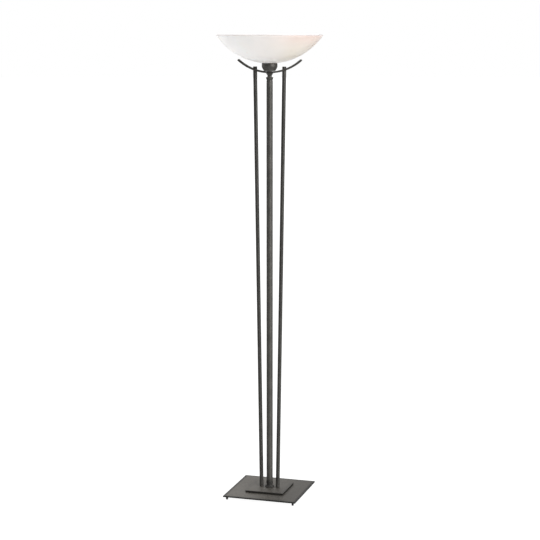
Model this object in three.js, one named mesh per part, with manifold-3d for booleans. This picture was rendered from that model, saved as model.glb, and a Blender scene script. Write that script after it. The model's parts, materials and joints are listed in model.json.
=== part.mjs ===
// Torchiere floor lamp: an opal glass bowl on a round pole and two leaning rods, on a square foot.
// Millimetres. +Z is up, z = 0 is the floor, the pole stands on the Z axis, +X runs along the
// crescent bar and the front of the lamp faces -Y.
import * as THREE from 'three';
import { mergeVertices } from 'three/addons/utils/BufferGeometryUtils.js';
import Module from 'manifold-3d';

const wasm = await Module();
wasm.setup();

// ---------------------------------------------------------------- driving dimensions

const fitGap = 0.3; // daylight between two pieces that rest on or pass through each other

// Foot of the lamp
const footHeight = 12;
const footDiameter = 9.5;
const footInset = 13.5; // middle of a foot to the plate's edge
const footStudDiameter = 4;
const footStudInFoot = 7;
const footStudInPlate = 3.4;
const basePlateSide = 304.8;
const basePlateThickness = 5;
const stepPlateSide = 158.75;
const stepPlateThickness = 8;

// Pole, its bottom flange and its top collar
const poleDiameter = 25.4;
const poleWall = 2;
const poleLength = 1635.9;
const spigotLength = 15; // what reaches into the tube's end
const grooveDepth = 0.7; // groove's floor inside the pole's surface
const flangeReach = 6.5; // flange's edge beyond the pole's surface
const flangeEdge = 3.2;
const flangeFlare = 7.8; // height of the hollow curve from the edge up to the groove
const footGrooveHeight = 2;
const footBeadReach = 0.6; // bead's surface beyond the pole's
const footBeadHeight = 12;
const footNeckHeight = 1.6; // second groove, under the pole
const collarGrooveHeight = 2.6;
const collarReach = 2.1; // collar's edge beyond the pole's surface
const collarHeight = 16.5;
const collarLip = 2.6; // thickness of the collar's edge
const collarLipRise = 9.7; // foot of the collar to the lower side of its edge
const neckWall = 3.2; // round the threaded pipe's hole
const neckHeight = 11.4;
const neckStraight = 1.9; // upright foot of the neck, under its flare
const neckTopDiameter = 30;
const neckFlarePower = 1.3; // 1 is a straight cone, more is a trumpet

// Hollow threaded pipe that carries the wires through the foot and through the head
const nippleDiameter = 10;
const nippleBore = 7;
const nippleInCollar = 12;
const hexNutWall = 2.15; // thread to flat
const hexNutHeight = 3.5;
const footWasherDiameter = 22;
const washerThickness = 1.2;
const nippleBelowNut = 0.5;
const bushingFlangeDiameter = 13;
const bushingFlangeHeight = 2.4;
const bushingSleeveDepth = 8;
const bushingWall = 0.4;

// Leaning rods and the crescent bar they carry
const rodDiameter = 15.875;
const rodFootSpread = 34.6; // pole axis to rod axis on the step plate
const rodHeadSpread = 60.1; // pole axis to rod axis at the bar's centre line
const rodCapHeight = 12.8; // bar's centre line to the top of the cap
const rodCapChamfer = 0.8;
const rodStudDiameter = 7.9;
const rodStudInRod = 14;
const rodStudInCap = 9;
const rodScrewDiameter = 7.9;
const rodScrewInRod = 20;
const rodScrewHeadAcrossFlats = 13;
const rodScrewHeadHeight = 5;
const rodWasherDiameter = 20;
const barCentreRadius = 197.1;
const barThickness = 7;
const barWidth = 15.9;
const barHalfAngle = 41.3 * Math.PI / 180;

// Cup under the glass
const cupFootDiameter = 44;
const cupDiameter = 62.4;
const cupRimInset = 0.4; // rim's edge inside the widest point
const cupSwell = 1; // how far the cup's side bulges out of a straight cone
const cupBellyHeight = 17.3; // foot of the cup to its widest point
const cupHeight = 28.6;
const cupWall = 2;
const cupFloor = 2.5;
const cupSeatDiameter = 20;
const cupSeatThickness = 1;
const lockWasherDiameter = 18;

// Glass bowl: a cap cut from a hollow ball
const bowlBallRadius = 256.9;
const bowlRimRadius = 210.8;
const bowlWall = 4.5;
const bowlHoleClearance = 1.75; // glass to lampholder, all round
const bowlLipRise = 1.1; // crown of the rounded rim above the glass's two edges
const gasketThickness = 1.2;
const gasketWidth = 4;

// Lampholder
const holderDiameter = 39;
const holderWall = 2.2;
const holderBaseFloor = 2;
const holderBaseHeight = 11.5;
const holderHeight = 29;
const holderFloor = 3.5;
const nippleAboveBaseFloor = 1.2;
const terminalSpread = 7.5;
const terminalShankDiameter = 3.4;
const terminalHeadDiameter = 7;
const terminalHeadHeight = 1.8;
const terminalWireRoom = 2.6;
const contactStripThickness = 0.8;
const contactStripWidth = 5;
const contactSpringRise = 1.6;
const contactSpringSlope = 2.3; // run of the spring's raised end beside the lamp's tip
const contactSpringBend = 0.8;
const shellClearance = 0.4; // between the lamp's thread and the shell, and between shell and holder
const shellWall = 1;
const shellTabInset = 1; // middle of the shell's tab inside its outer surface
const shellTabOverlap = 1; // what the tab reaches up into the shell
const shellStandOff = 3; // shell's lower edge above the holder's floor
const shellBelowTop = 1;

// Ring that holds the glass down, with its slip washer
const ringFace = 9; // ring's breadth beyond the lampholder
const ringHeight = 5;
const ringNotches = 20;
const ringNotchDepth = 0.9;
const slipWasherFace = 7.5;
const slipWasherThickness = 1;

// Lamp (light bulb) with a 26 mm screw base
const lampThreadPitch = 3.629;
const lampThreadRoot = 24.4;
const lampThreadDepth = 0.8;
const lampTipDiameter = 9.2;
const lampTipHeight = 2.2;
const lampTipFlat = 5.5; // breadth of the worn solder dome
const lampTipDome = 0.3;
const lampInsulatorStep = 2.7; // insulator's edge inside the thread's root
const lampInsulatorLip = 1; // insulator's flat end beyond the tip
const lampInsulatorHeight = 2.6;
const lampBaseHeight = 22; // metal shell of the base
const lampBaseWall = 1.1;
const lampBaseCollar = 3.6; // plain band above the thread
const lampLength = 108;
const lampBallDiameter = 60;
const lampGlassWall = 0.8;
const lampGlassInBase = 5.5;
const lampNeckStep = 2; // glass neck's surface beyond the thread's root
const lampNeckHeight = 7.1; // straight part above the base
const stemFlareDiameter = 15;
const stemDiameter = 5;
const stemHeight = 36;
const leadDiameter = 0.9;
const leadSpread = 12;
const leadInStem = 12;
const leadRise = 18;
const filamentDiameter = 1.4;
const filamentArch = 3;

// Wires inside the pole
const wireDiameter = 2.2;
const wireSpacing = 2.7;

// Roundness of the facets
const sidesLead = 3;
const sidesBend = 4;
const sidesWire = 8;
const sidesSmall = 12;
const sidesMedium = 18;
const sidesRound = 24;
const sidesBowl = 48;
const sidesDrum = 160;
const leadSteps = 6;
const bendSteps = 10;
const shoulderSteps = 4;
const crownSteps = 5;
const curveSteps = 5;
const bowlSteps = 8;
const barSteps = 18;
const cornersPerNotch = 4;
const threadRowsPerTurn = 5;
const mergeTolerance = 1e-3;

// ---------------------------------------------------------------- widths that follow from others

const boreClear = nippleDiameter / 2 + fitGap;
const poleRadius = poleDiameter / 2;
const spigotRadius = poleRadius - poleWall - fitGap;
const grooveRadius = poleRadius - grooveDepth;
const neckRadius = boreClear + neckWall;
const hexNutAcrossFlats = nippleDiameter + 2 * hexNutWall;
const cupRimDiameter = cupDiameter - 2 * cupRimInset;
const shellRootDiameter = lampThreadRoot + 2 * shellClearance;
const shellOuterDiameter = shellRootDiameter + 2 * (lampThreadDepth + shellWall);
const holderBore = shellOuterDiameter + 2 * shellClearance;
const bowlHoleDiameter = holderDiameter + 2 * bowlHoleClearance;
const ringBore = holderDiameter + 4 * fitGap;
const ringDiameter = holderDiameter + 2 * ringFace;
const slipWasherDiameter = holderDiameter + 2 * slipWasherFace;
const lampInsulatorDiameter = lampThreadRoot - 2 * lampInsulatorStep;
const lampNeckDiameter = lampThreadRoot + 2 * lampNeckStep;

// ---------------------------------------------------------------- heights and places

const basePlateBottom = footHeight + fitGap;
const basePlateTop = basePlateBottom + basePlateThickness;
const stepPlateBottom = basePlateTop + fitGap;
const stepPlateTop = stepPlateBottom + stepPlateThickness;
const rodBottom = stepPlateTop + fitGap;

const flangeBottom = stepPlateTop + fitGap;
const flareTop = flangeBottom + flangeEdge + flangeFlare;
const footBeadBottom = flareTop + footGrooveHeight;
const footBeadTop = footBeadBottom + footBeadHeight;
const flangeTop = footBeadTop + footNeckHeight;
const poleBottom = flangeTop + fitGap;
const poleTop = poleBottom + poleLength;
const collarBottom = poleTop + fitGap;
const collarTop = collarBottom + collarHeight;
const neckBottom = collarTop + fitGap;
const neckTop = neckBottom + neckHeight;

const barOuterRadius = barCentreRadius + barThickness / 2;
const barInnerRadius = barCentreRadius - barThickness / 2;
const barCentreHeight = neckTop + fitGap + barOuterRadius;
const rodHeadHeight = barCentreHeight - Math.sqrt(barCentreRadius ** 2 - rodHeadSpread ** 2);
const rodLean = Math.atan2(rodHeadSpread - rodFootSpread, rodHeadHeight - rodBottom);

const cupSeatBottom = barTopAt(cupSeatDiameter / 2) + fitGap;
const cupBottom = Math.max(cupSeatBottom + cupSeatThickness, barTopAt(cupFootDiameter / 2)) + fitGap;
const cupFloorTop = cupBottom + cupFloor;
const cupTop = cupBottom + cupHeight;
const lockWasherBottom = cupFloorTop + fitGap;
const lockWasherTop = lockWasherBottom + washerThickness;
const headNutBottom = lockWasherTop + fitGap;
const holderBaseBottom = headNutBottom + hexNutHeight + fitGap;
const holderBaseTop = holderBaseBottom + holderBaseHeight;
const headNippleTop = holderBaseBottom + holderBaseFloor + nippleAboveBaseFloor;
const headNippleBottom = collarBottom - nippleInCollar;
const holderBottom = holderBaseTop + fitGap;
const holderFloorTop = holderBottom + holderFloor;
const holderTop = holderBottom + holderHeight;

const gasketBottom = cupTop + fitGap;
const gasketTop = gasketBottom + gasketThickness;
const bowlSeatRadius = cupRimDiameter / 2 - gasketWidth;
const bowlCentre = gasketTop + fitGap + Math.sqrt(bowlBallRadius ** 2 - bowlSeatRadius ** 2);
const bowlInnerRadius = bowlBallRadius - bowlWall;
const slipWasherRise = Math.sqrt(bowlInnerRadius ** 2 - (slipWasherDiameter / 2) ** 2);
const slipWasherBottom = bowlCentre - slipWasherRise + fitGap;
const ringBottom = slipWasherBottom + slipWasherThickness + fitGap;

const contactTop = holderFloorTop + fitGap + contactStripThickness + contactSpringRise;
const lampTipBottom = contactTop + fitGap;
const lampInsulatorBottom = lampTipBottom + lampTipHeight + fitGap;
const lampBaseBottom = lampInsulatorBottom + lampInsulatorHeight + fitGap;
const lampBaseTop = lampBaseBottom + lampBaseHeight;
const lampTop = lampTipBottom + lampLength;
const lampGlassBottom = lampBaseTop - lampGlassInBase;

const footNutTop = basePlateBottom - 2 * fitGap - washerThickness;
const footNippleBottom = footNutTop - hexNutHeight - nippleBelowNut;
const bushingTop = footNippleBottom - fitGap;

function barTopAt(x) {
  return barCentreHeight - Math.sqrt(barInnerRadius ** 2 - x ** 2);
}

// ---------------------------------------------------------------- finishes

const ironFinish = { color: 0x43423e, roughness: 0.6, metalness: 0.75 };
const zincFinish = { color: 0x9a9a95, roughness: 0.4, metalness: 0.9 };
const brassFinish = { color: 0xb39a5c, roughness: 0.35, metalness: 0.95 };
const rubberFinish = { color: 0x1b1b1b, roughness: 0.85, metalness: 0 };
const opalFinish = { color: 0xf1ece6, roughness: 0.25, metalness: 0 };
const phenolicFinish = { color: 0x191716, roughness: 0.4, metalness: 0 };
const fibreFinish = { color: 0x8a6a4a, roughness: 0.9, metalness: 0 };
const lampMetalFinish = { color: 0xc3c3c0, roughness: 0.35, metalness: 0.95 };
const lampGlassFinish = { color: 0xf4f4f2, roughness: 0.5, metalness: 0 };
const filamentFinish = { color: 0x55554f, roughness: 0.5, metalness: 0.9 };
const wireFinish = { color: 0x24211f, roughness: 0.6, metalness: 0 };

// ---------------------------------------------------------------- shape helpers

const lamp = new THREE.Group();

function addPiece(name, geometry, finish) {
  const mesh = new THREE.Mesh(geometry, new THREE.MeshStandardMaterial(finish));
  mesh.name = name;
  lamp.add(mesh);
  return mesh;
}

// A closed geometry as a solid that can be joined and cut.
function solidOf(geometry) {
  const bare = geometry.clone();
  bare.deleteAttribute('normal');
  bare.deleteAttribute('uv');
  const merged = mergeVertices(bare, mergeTolerance);
  const corners = merged.index.array;
  const kept = [];
  for (let i = 0; i < corners.length; i += 3) {
    const [a, b, c] = [corners[i], corners[i + 1], corners[i + 2]];
    if (a !== b && b !== c && c !== a) {
      kept.push(a, b, c);
    }
  }
  return new wasm.Manifold(new wasm.Mesh({
    numProp: 3,
    vertProperties: new Float32Array(merged.attributes.position.array),
    triVerts: new Uint32Array(kept),
  }));
}

function geometryOf(solid) {
  const mesh = solid.getMesh();
  const geometry = new THREE.BufferGeometry();
  geometry.setAttribute('position', new THREE.BufferAttribute(mesh.vertProperties, 3));
  geometry.setIndex(new THREE.BufferAttribute(mesh.triVerts, 1));
  return geometry;
}

function cut(geometry, ...tools) {
  let solid = solidOf(geometry);
  for (const tool of tools) {
    solid = solid.subtract(solidOf(tool));
  }
  return geometryOf(solid);
}

function join(geometry, ...others) {
  let solid = solidOf(geometry);
  for (const other of others) {
    solid = solid.add(solidOf(other));
  }
  return geometryOf(solid);
}

// Turned shape from [radius, height] corners, listed up the outside first.
function turned(corners, sides = sidesRound) {
  const profile = corners.map(([radius, height]) => new THREE.Vector2(radius, height));
  return new THREE.LatheGeometry(profile, sides).rotateX(Math.PI / 2);
}

function disc(diameter, bottom, top, sides = sidesRound) {
  const radius = diameter / 2;
  return turned([[0, bottom], [radius, bottom], [radius, top], [0, top]], sides);
}

function sleeve(outer, inner, bottom, top, sides = sidesRound) {
  const [wide, slim] = [outer / 2, inner / 2];
  return turned([[slim, bottom], [wide, bottom], [wide, top], [slim, top], [slim, bottom]], sides);
}

function hexBar(acrossFlats, bottom, top) {
  const radius = acrossFlats / Math.sqrt(3);
  return new THREE.CylinderGeometry(radius, radius, top - bottom, 6)
    .rotateX(Math.PI / 2)
    .translate(0, 0, (bottom + top) / 2);
}

function plate(side, bottom, top) {
  return new THREE.BoxGeometry(side, side, top - bottom).translate(0, 0, (bottom + top) / 2);
}

function crosswiseDrum(radius, height, length, sides) {
  return new THREE.CylinderGeometry(radius, radius, length, sides).translate(0, 0, height);
}

function tube(points, diameter, sides, steps) {
  const section = new THREE.Shape();
  section.absarc(0, 0, diameter / 2, 0, 2 * Math.PI);
  const path = new THREE.CatmullRomCurve3(points.map(([x, y, z]) => new THREE.Vector3(x, y, z)));
  return new THREE.ExtrudeGeometry(section, { steps, curveSegments: sides, extrudePath: path });
}

// Share of the full thread depth at one spot: a screw's thread fades away towards both ends,
// and the thread it runs in opens out to its full depth there.
function threadWave(angle, height, bottom, top, isInside) {
  const fade = Math.min(1, (height - bottom) / lampThreadPitch, (top - height) / lampThreadPitch);
  const wave = 0.5 + 0.5 * Math.cos(2 * Math.PI * (height / lampThreadPitch) - angle);
  return isInside ? 1 - fade * (1 - wave) : fade * wave;
}

// Heights for the rows of corners that a thread needs.
function threadRows(bottom, top) {
  const rows = Math.round((top - bottom) / lampThreadPitch * threadRowsPerTurn);
  return Array.from({ length: rows + 1 }, (_, row) => bottom + (top - bottom) * row / rows);
}

// Turned shape whose corners at the root radius, from bottom to top, follow a right-hand thread.
function threaded(corners, root, bottom, top, isInside) {
  const geometry = turned(corners, sidesMedium);
  const place = geometry.attributes.position;
  for (let i = 0; i < place.count; i += 1) {
    const [x, y, z] = [place.getX(i), place.getY(i), place.getZ(i)];
    const isOnThread = z > bottom - mergeTolerance && z < top + mergeTolerance;
    if (Math.abs(Math.hypot(x, y) - root) < mergeTolerance && isOnThread) {
      const wave = threadWave(Math.atan2(y, x), z, bottom, top, isInside);
      const swell = 1 + lampThreadDepth * wave / root;
      place.setXY(i, x * swell, y * swell);
    }
  }
  return geometry;
}

// ---------------------------------------------------------------- foot of the lamp

function addFeet() {
  const reach = basePlateSide / 2 - footInset;
  for (const [sideName, x] of [['left', -reach], ['right', reach]]) {
    for (const [endName, y] of [['front', -reach], ['rear', reach]]) {
      const studBottom = footHeight - footStudInFoot;
      const studHole = disc(footStudDiameter + 2 * fitGap, studBottom, footHeight + 1, sidesSmall);
      const foot = cut(disc(footDiameter, 0, footHeight, sidesMedium), studHole);
      addPiece(`foot_${endName}_${sideName}`, foot.translate(x, y, 0), rubberFinish);
      const studTop = basePlateBottom + footStudInPlate;
      const stud = disc(footStudDiameter, studBottom + fitGap, studTop, sidesSmall);
      addPiece(`foot_stud_${endName}_${sideName}`, stud.translate(x, y, 0), zincFinish);
    }
  }
}

function addPlates() {
  const nippleHole = disc(2 * boreClear, 0, stepPlateTop + 1, sidesMedium);
  const rodHoles = [-1, 1].map((side) => (
    disc(rodScrewDiameter + 2 * fitGap, 0, stepPlateTop + 1, sidesSmall).translate(side * rodFootSpread, 0, 0)
  ));
  const reach = basePlateSide / 2 - footInset;
  const studHoles = [[-reach, -reach], [reach, -reach], [reach, reach], [-reach, reach]].map(([x, y]) => (
    disc(footStudDiameter + 2 * fitGap, 0, basePlateBottom + footStudInPlate + fitGap, sidesSmall)
      .translate(x, y, 0)
  ));
  const basePlate = plate(basePlateSide, basePlateBottom, basePlateTop);
  addPiece('base_plate', cut(basePlate, nippleHole, ...rodHoles, ...studHoles), ironFinish);
  const stepPlate = plate(stepPlateSide, stepPlateBottom, stepPlateTop);
  addPiece('step_plate', cut(stepPlate, nippleHole, ...rodHoles), ironFinish);
}

function addFootFixings() {
  const washerTop = basePlateBottom - fitGap;
  addPiece(
    'foot_washer',
    sleeve(footWasherDiameter, 2 * boreClear, washerTop - washerThickness, washerTop, sidesMedium),
    zincFinish,
  );
  const nut = hexBar(hexNutAcrossFlats, footNutTop - hexNutHeight, footNutTop);
  const nutHole = disc(2 * boreClear, 0, basePlateTop, sidesMedium);
  addPiece('foot_nut', cut(nut, nutHole), zincFinish);
  addPiece(
    'foot_nipple',
    sleeve(nippleDiameter, nippleBore, footNippleBottom, flangeTop, sidesMedium),
    zincFinish,
  );
  const sleeveRadius = nippleBore / 2 - fitGap;
  const boreRadius = sleeveRadius - bushingWall;
  const flangeRadius = bushingFlangeDiameter / 2;
  addPiece(
    'cord_inlet_bushing',
    turned([
      [boreRadius, bushingTop - bushingFlangeHeight],
      [flangeRadius, bushingTop - bushingFlangeHeight],
      [flangeRadius, bushingTop],
      [sleeveRadius, bushingTop],
      [sleeveRadius, bushingTop + bushingSleeveDepth],
      [boreRadius, bushingTop + bushingSleeveDepth],
      [boreRadius, bushingTop - bushingFlangeHeight],
    ], sidesMedium),
    phenolicFinish,
  );
}

// ---------------------------------------------------------------- pole

function addPole() {
  const flangeRadius = poleRadius + flangeReach;
  const beadRadius = poleRadius + footBeadReach;
  addPiece(
    'pole_flange',
    turned([
      [boreClear, flangeBottom],
      [flangeRadius, flangeBottom],
      ...hollowCorners(flangeRadius, grooveRadius, flangeBottom + flangeEdge, flareTop),
      [grooveRadius, footBeadBottom],
      [beadRadius, footBeadBottom],
      [beadRadius, footBeadTop],
      [grooveRadius, footBeadTop],
      [grooveRadius, flangeTop],
      [spigotRadius, flangeTop],
      [spigotRadius, flangeTop + spigotLength],
      [boreClear, flangeTop + spigotLength],
      [boreClear, flangeBottom],
    ]),
    ironFinish,
  );
  addPiece(
    'pole_tube',
    sleeve(poleDiameter, poleDiameter - 2 * poleWall, poleBottom, poleTop),
    ironFinish,
  );
  const collarRadius = poleRadius + collarReach;
  const lipBottom = collarBottom + collarLipRise;
  const lipTop = lipBottom + collarLip;
  const grooveTop = collarBottom + collarGrooveHeight;
  addPiece(
    'pole_collar',
    turned([
      [boreClear, collarBottom - spigotLength],
      [spigotRadius, collarBottom - spigotLength],
      [spigotRadius, collarBottom],
      [grooveRadius, collarBottom],
      [grooveRadius, grooveTop],
      [collarRadius, lipBottom],
      ...hollowCorners(collarRadius, neckRadius, lipTop, collarTop),
      [boreClear, collarTop],
      [boreClear, collarBottom - spigotLength],
    ]),
    ironFinish,
  );
  const neckTopRadius = neckTopDiameter / 2;
  addPiece(
    'neck_cone',
    turned([
      [boreClear, neckBottom],
      [neckRadius, neckBottom],
      ...flareCorners(neckRadius, neckTopRadius, neckBottom + neckStraight, neckTop),
      [boreClear, neckTop],
      [boreClear, neckBottom],
    ]),
    ironFinish,
  );
  addPiece(
    'head_nipple',
    sleeve(nippleDiameter, nippleBore, headNippleBottom, headNippleTop, sidesMedium),
    zincFinish,
  );
}

// Corners of a hollow quarter curve that leaves a wide edge flat and ends upright at a slim one.
function hollowCorners(wideRadius, slimRadius, wideHeight, slimHeight) {
  return Array.from({ length: curveSteps + 1 }, (_, step) => {
    const angle = Math.PI / 2 * step / curveSteps;
    return [
      wideRadius + (slimRadius - wideRadius) * Math.sin(angle),
      slimHeight + (wideHeight - slimHeight) * Math.cos(angle),
    ];
  });
}

// Run of corners that starts upright and opens out like a trumpet.
function flareCorners(fromRadius, toRadius, fromHeight, toHeight) {
  return Array.from({ length: curveSteps + 1 }, (_, step) => {
    const along = step / curveSteps;
    const radius = fromRadius + (toRadius - fromRadius) * along ** neckFlarePower;
    return [radius, fromHeight + (toHeight - fromHeight) * along];
  });
}

// ---------------------------------------------------------------- rods and crescent bar

// Turned shape along a leaning rod: heights are counted from the bar's centre line.
function alongRod(geometry, side) {
  return geometry.rotateY(side * rodLean).translate(side * rodHeadSpread, 0, rodHeadHeight);
}

function addRods() {
  const rodLength = Math.hypot(rodHeadSpread - rodFootSpread, rodHeadHeight - rodBottom);
  const studHole = (side) => (
    alongRod(disc(
      rodStudDiameter + 2 * fitGap,
      -rodStudInRod - fitGap,
      rodStudInCap + fitGap,
      sidesSmall,
    ), side)
  );
  const drumLength = 2 * rodDiameter;
  for (const [name, side] of [['left', -1], ['right', 1]]) {
    const belowFoot = plate(stepPlateSide, 0, rodBottom);
    const barAndAbove = crosswiseDrum(barOuterRadius + fitGap, barCentreHeight, drumLength, sidesDrum);
    const screwHole = disc(
      rodScrewDiameter + 2 * fitGap,
      0,
      rodBottom + rodScrewInRod + fitGap,
      sidesSmall,
    ).translate(side * rodFootSpread, 0, 0);
    const bar = alongRod(disc(rodDiameter, -rodLength - rodDiameter, barThickness, sidesRound), side);
    addPiece(`${name}_rod`, cut(bar, belowFoot, barAndAbove, screwHole, studHole(side)), ironFinish);

    const radius = rodDiameter / 2;
    const cap = alongRod(turned([
      [0, -barThickness],
      [radius, -barThickness],
      [radius, rodCapHeight - rodCapChamfer],
      [radius - rodCapChamfer, rodCapHeight],
      [0, rodCapHeight],
    ], sidesRound), side);
    const overBar = crosswiseDrum(barInnerRadius - fitGap, barCentreHeight, drumLength, sidesDrum);
    const cappedCap = solidOf(cap).intersect(solidOf(overBar)).subtract(solidOf(studHole(side)));
    addPiece(`${name}_rod_cap`, geometryOf(cappedCap), ironFinish);

    const stud = alongRod(disc(rodStudDiameter, -rodStudInRod, rodStudInCap, sidesSmall), side);
    addPiece(`${name}_rod_stud`, stud, zincFinish);

    const washerTop = basePlateBottom - fitGap;
    const headTop = washerTop - washerThickness - fitGap;
    const washer = sleeve(
      rodWasherDiameter,
      rodScrewDiameter + 2 * fitGap,
      washerTop - washerThickness,
      washerTop,
      sidesMedium,
    );
    addPiece(`${name}_rod_washer`, washer.translate(side * rodFootSpread, 0, 0), zincFinish);
    const screw = join(
      disc(rodScrewDiameter, headTop - rodScrewHeadHeight / 2, rodBottom + rodScrewInRod, sidesSmall),
      hexBar(rodScrewHeadAcrossFlats, headTop - rodScrewHeadHeight, headTop),
    );
    addPiece(`${name}_rod_screw`, screw.translate(side * rodFootSpread, 0, 0), zincFinish);
  }
}

function addCrescentBar() {
  const down = -Math.PI / 2;
  const outline = new THREE.Shape();
  outline.absarc(0, 0, barOuterRadius, down - barHalfAngle, down + barHalfAngle, false);
  outline.absarc(0, 0, barInnerRadius, down + barHalfAngle, down - barHalfAngle, true);
  outline.closePath();
  const blank = new THREE.ExtrudeGeometry(outline, {
    depth: barWidth,
    steps: 1,
    bevelEnabled: false,
    curveSegments: barSteps,
  }).rotateX(Math.PI / 2).translate(0, barWidth / 2, barCentreHeight);
  const rodHoles = [-1, 1].map((side) => (
    alongRod(disc(rodStudDiameter + 2 * fitGap, -rodStudInRod, rodStudInCap, sidesSmall), side)
  ));
  const nippleHole = disc(2 * boreClear, neckBottom, cupFloorTop, sidesMedium);
  addPiece('crescent_bar', cut(blank, nippleHole, ...rodHoles), ironFinish);
}

// ---------------------------------------------------------------- cup and glass

function addCup() {
  addPiece(
    'cup_seat_washer',
    sleeve(cupSeatDiameter, 2 * boreClear, cupSeatBottom, cupSeatBottom + cupSeatThickness, sidesMedium),
    zincFinish,
  );
  const belly = (inset) => (
    Array.from({ length: curveSteps + 1 }, (_, step) => {
      const along = step / curveSteps;
      const bulge = cupSwell * 4 * along * (1 - along); // full at half height, none at both ends
      const radius = (cupFootDiameter + (cupDiameter - cupFootDiameter) * along) / 2 + bulge;
      return [radius - inset, cupBottom + cupBellyHeight * along];
    })
  );
  const rimRadius = cupRimDiameter / 2;
  const inside = belly(cupWall).filter(([, height]) => height > cupFloorTop).reverse();
  addPiece(
    'cup',
    turned([
      [boreClear, cupBottom],
      ...belly(0),
      [rimRadius, cupTop],
      [rimRadius - cupWall, cupTop],
      ...inside,
      [cupFootDiameter / 2 - cupWall, cupFloorTop],
      [boreClear, cupFloorTop],
      [boreClear, cupBottom],
    ]),
    ironFinish,
  );
  addPiece(
    'cup_lock_washer',
    sleeve(lockWasherDiameter, 2 * boreClear, lockWasherBottom, lockWasherTop, sidesMedium),
    zincFinish,
  );
  const nut = hexBar(hexNutAcrossFlats, headNutBottom, headNutBottom + hexNutHeight);
  addPiece('cup_nut', cut(nut, disc(2 * boreClear, cupBottom, holderBaseTop, sidesMedium)), zincFinish);
}

function addBowl() {
  addPiece(
    'bowl_gasket',
    sleeve(cupRimDiameter, cupRimDiameter - 2 * gasketWidth, gasketBottom, gasketTop),
    rubberFinish,
  );
  const holeRadius = bowlHoleDiameter / 2;
  const ballCorners = (radius, fromRadius, toRadius) => {
    const fromAngle = Math.asin(fromRadius / radius);
    const toAngle = Math.asin(toRadius / radius);
    return Array.from({ length: bowlSteps + 1 }, (_, step) => {
      const angle = fromAngle + (toAngle - fromAngle) * step / bowlSteps;
      return [radius * Math.sin(angle), bowlCentre - radius * Math.cos(angle)];
    });
  };
  const outside = ballCorners(bowlBallRadius, holeRadius, bowlRimRadius);
  const inside = ballCorners(bowlInnerRadius, holeRadius, bowlRimRadius - bowlWall).reverse();
  const rimTop = Math.max(outside.at(-1)[1], inside[0][1]) + bowlLipRise;
  const rimMiddle = [bowlRimRadius - bowlWall / 2, rimTop];
  addPiece(
    'glass_bowl',
    turned([...outside, rimMiddle, ...inside, outside[0]], sidesBowl),
    opalFinish,
  );
}

function addRetainingRing() {
  addPiece(
    'ring_slip_washer',
    sleeve(
      slipWasherDiameter,
      ringBore,
      slipWasherBottom,
      slipWasherBottom + slipWasherThickness,
    ),
    fibreFinish,
  );
  const outline = new THREE.Shape();
  const corners = ringNotches * cornersPerNotch;
  for (let corner = 0; corner < corners; corner += 1) {
    const angle = 2 * Math.PI * corner / corners;
    const inNotch = corner % cornersPerNotch === 0;
    const radius = ringDiameter / 2 - (inNotch ? ringNotchDepth : 0);
    const [x, y] = [radius * Math.cos(angle), radius * Math.sin(angle)];
    if (corner === 0) {
      outline.moveTo(x, y);
    } else {
      outline.lineTo(x, y);
    }
  }
  outline.closePath();
  const bore = new THREE.Path();
  bore.absarc(0, 0, ringBore / 2, 0, 2 * Math.PI, true);
  outline.holes.push(bore);
  const ring = new THREE.ExtrudeGeometry(outline, {
    depth: ringHeight,
    steps: 1,
    bevelEnabled: false,
    curveSegments: sidesRound,
  });
  addPiece('retaining_ring', ring.translate(0, 0, ringBottom), phenolicFinish);
}

// ---------------------------------------------------------------- lampholder

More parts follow.
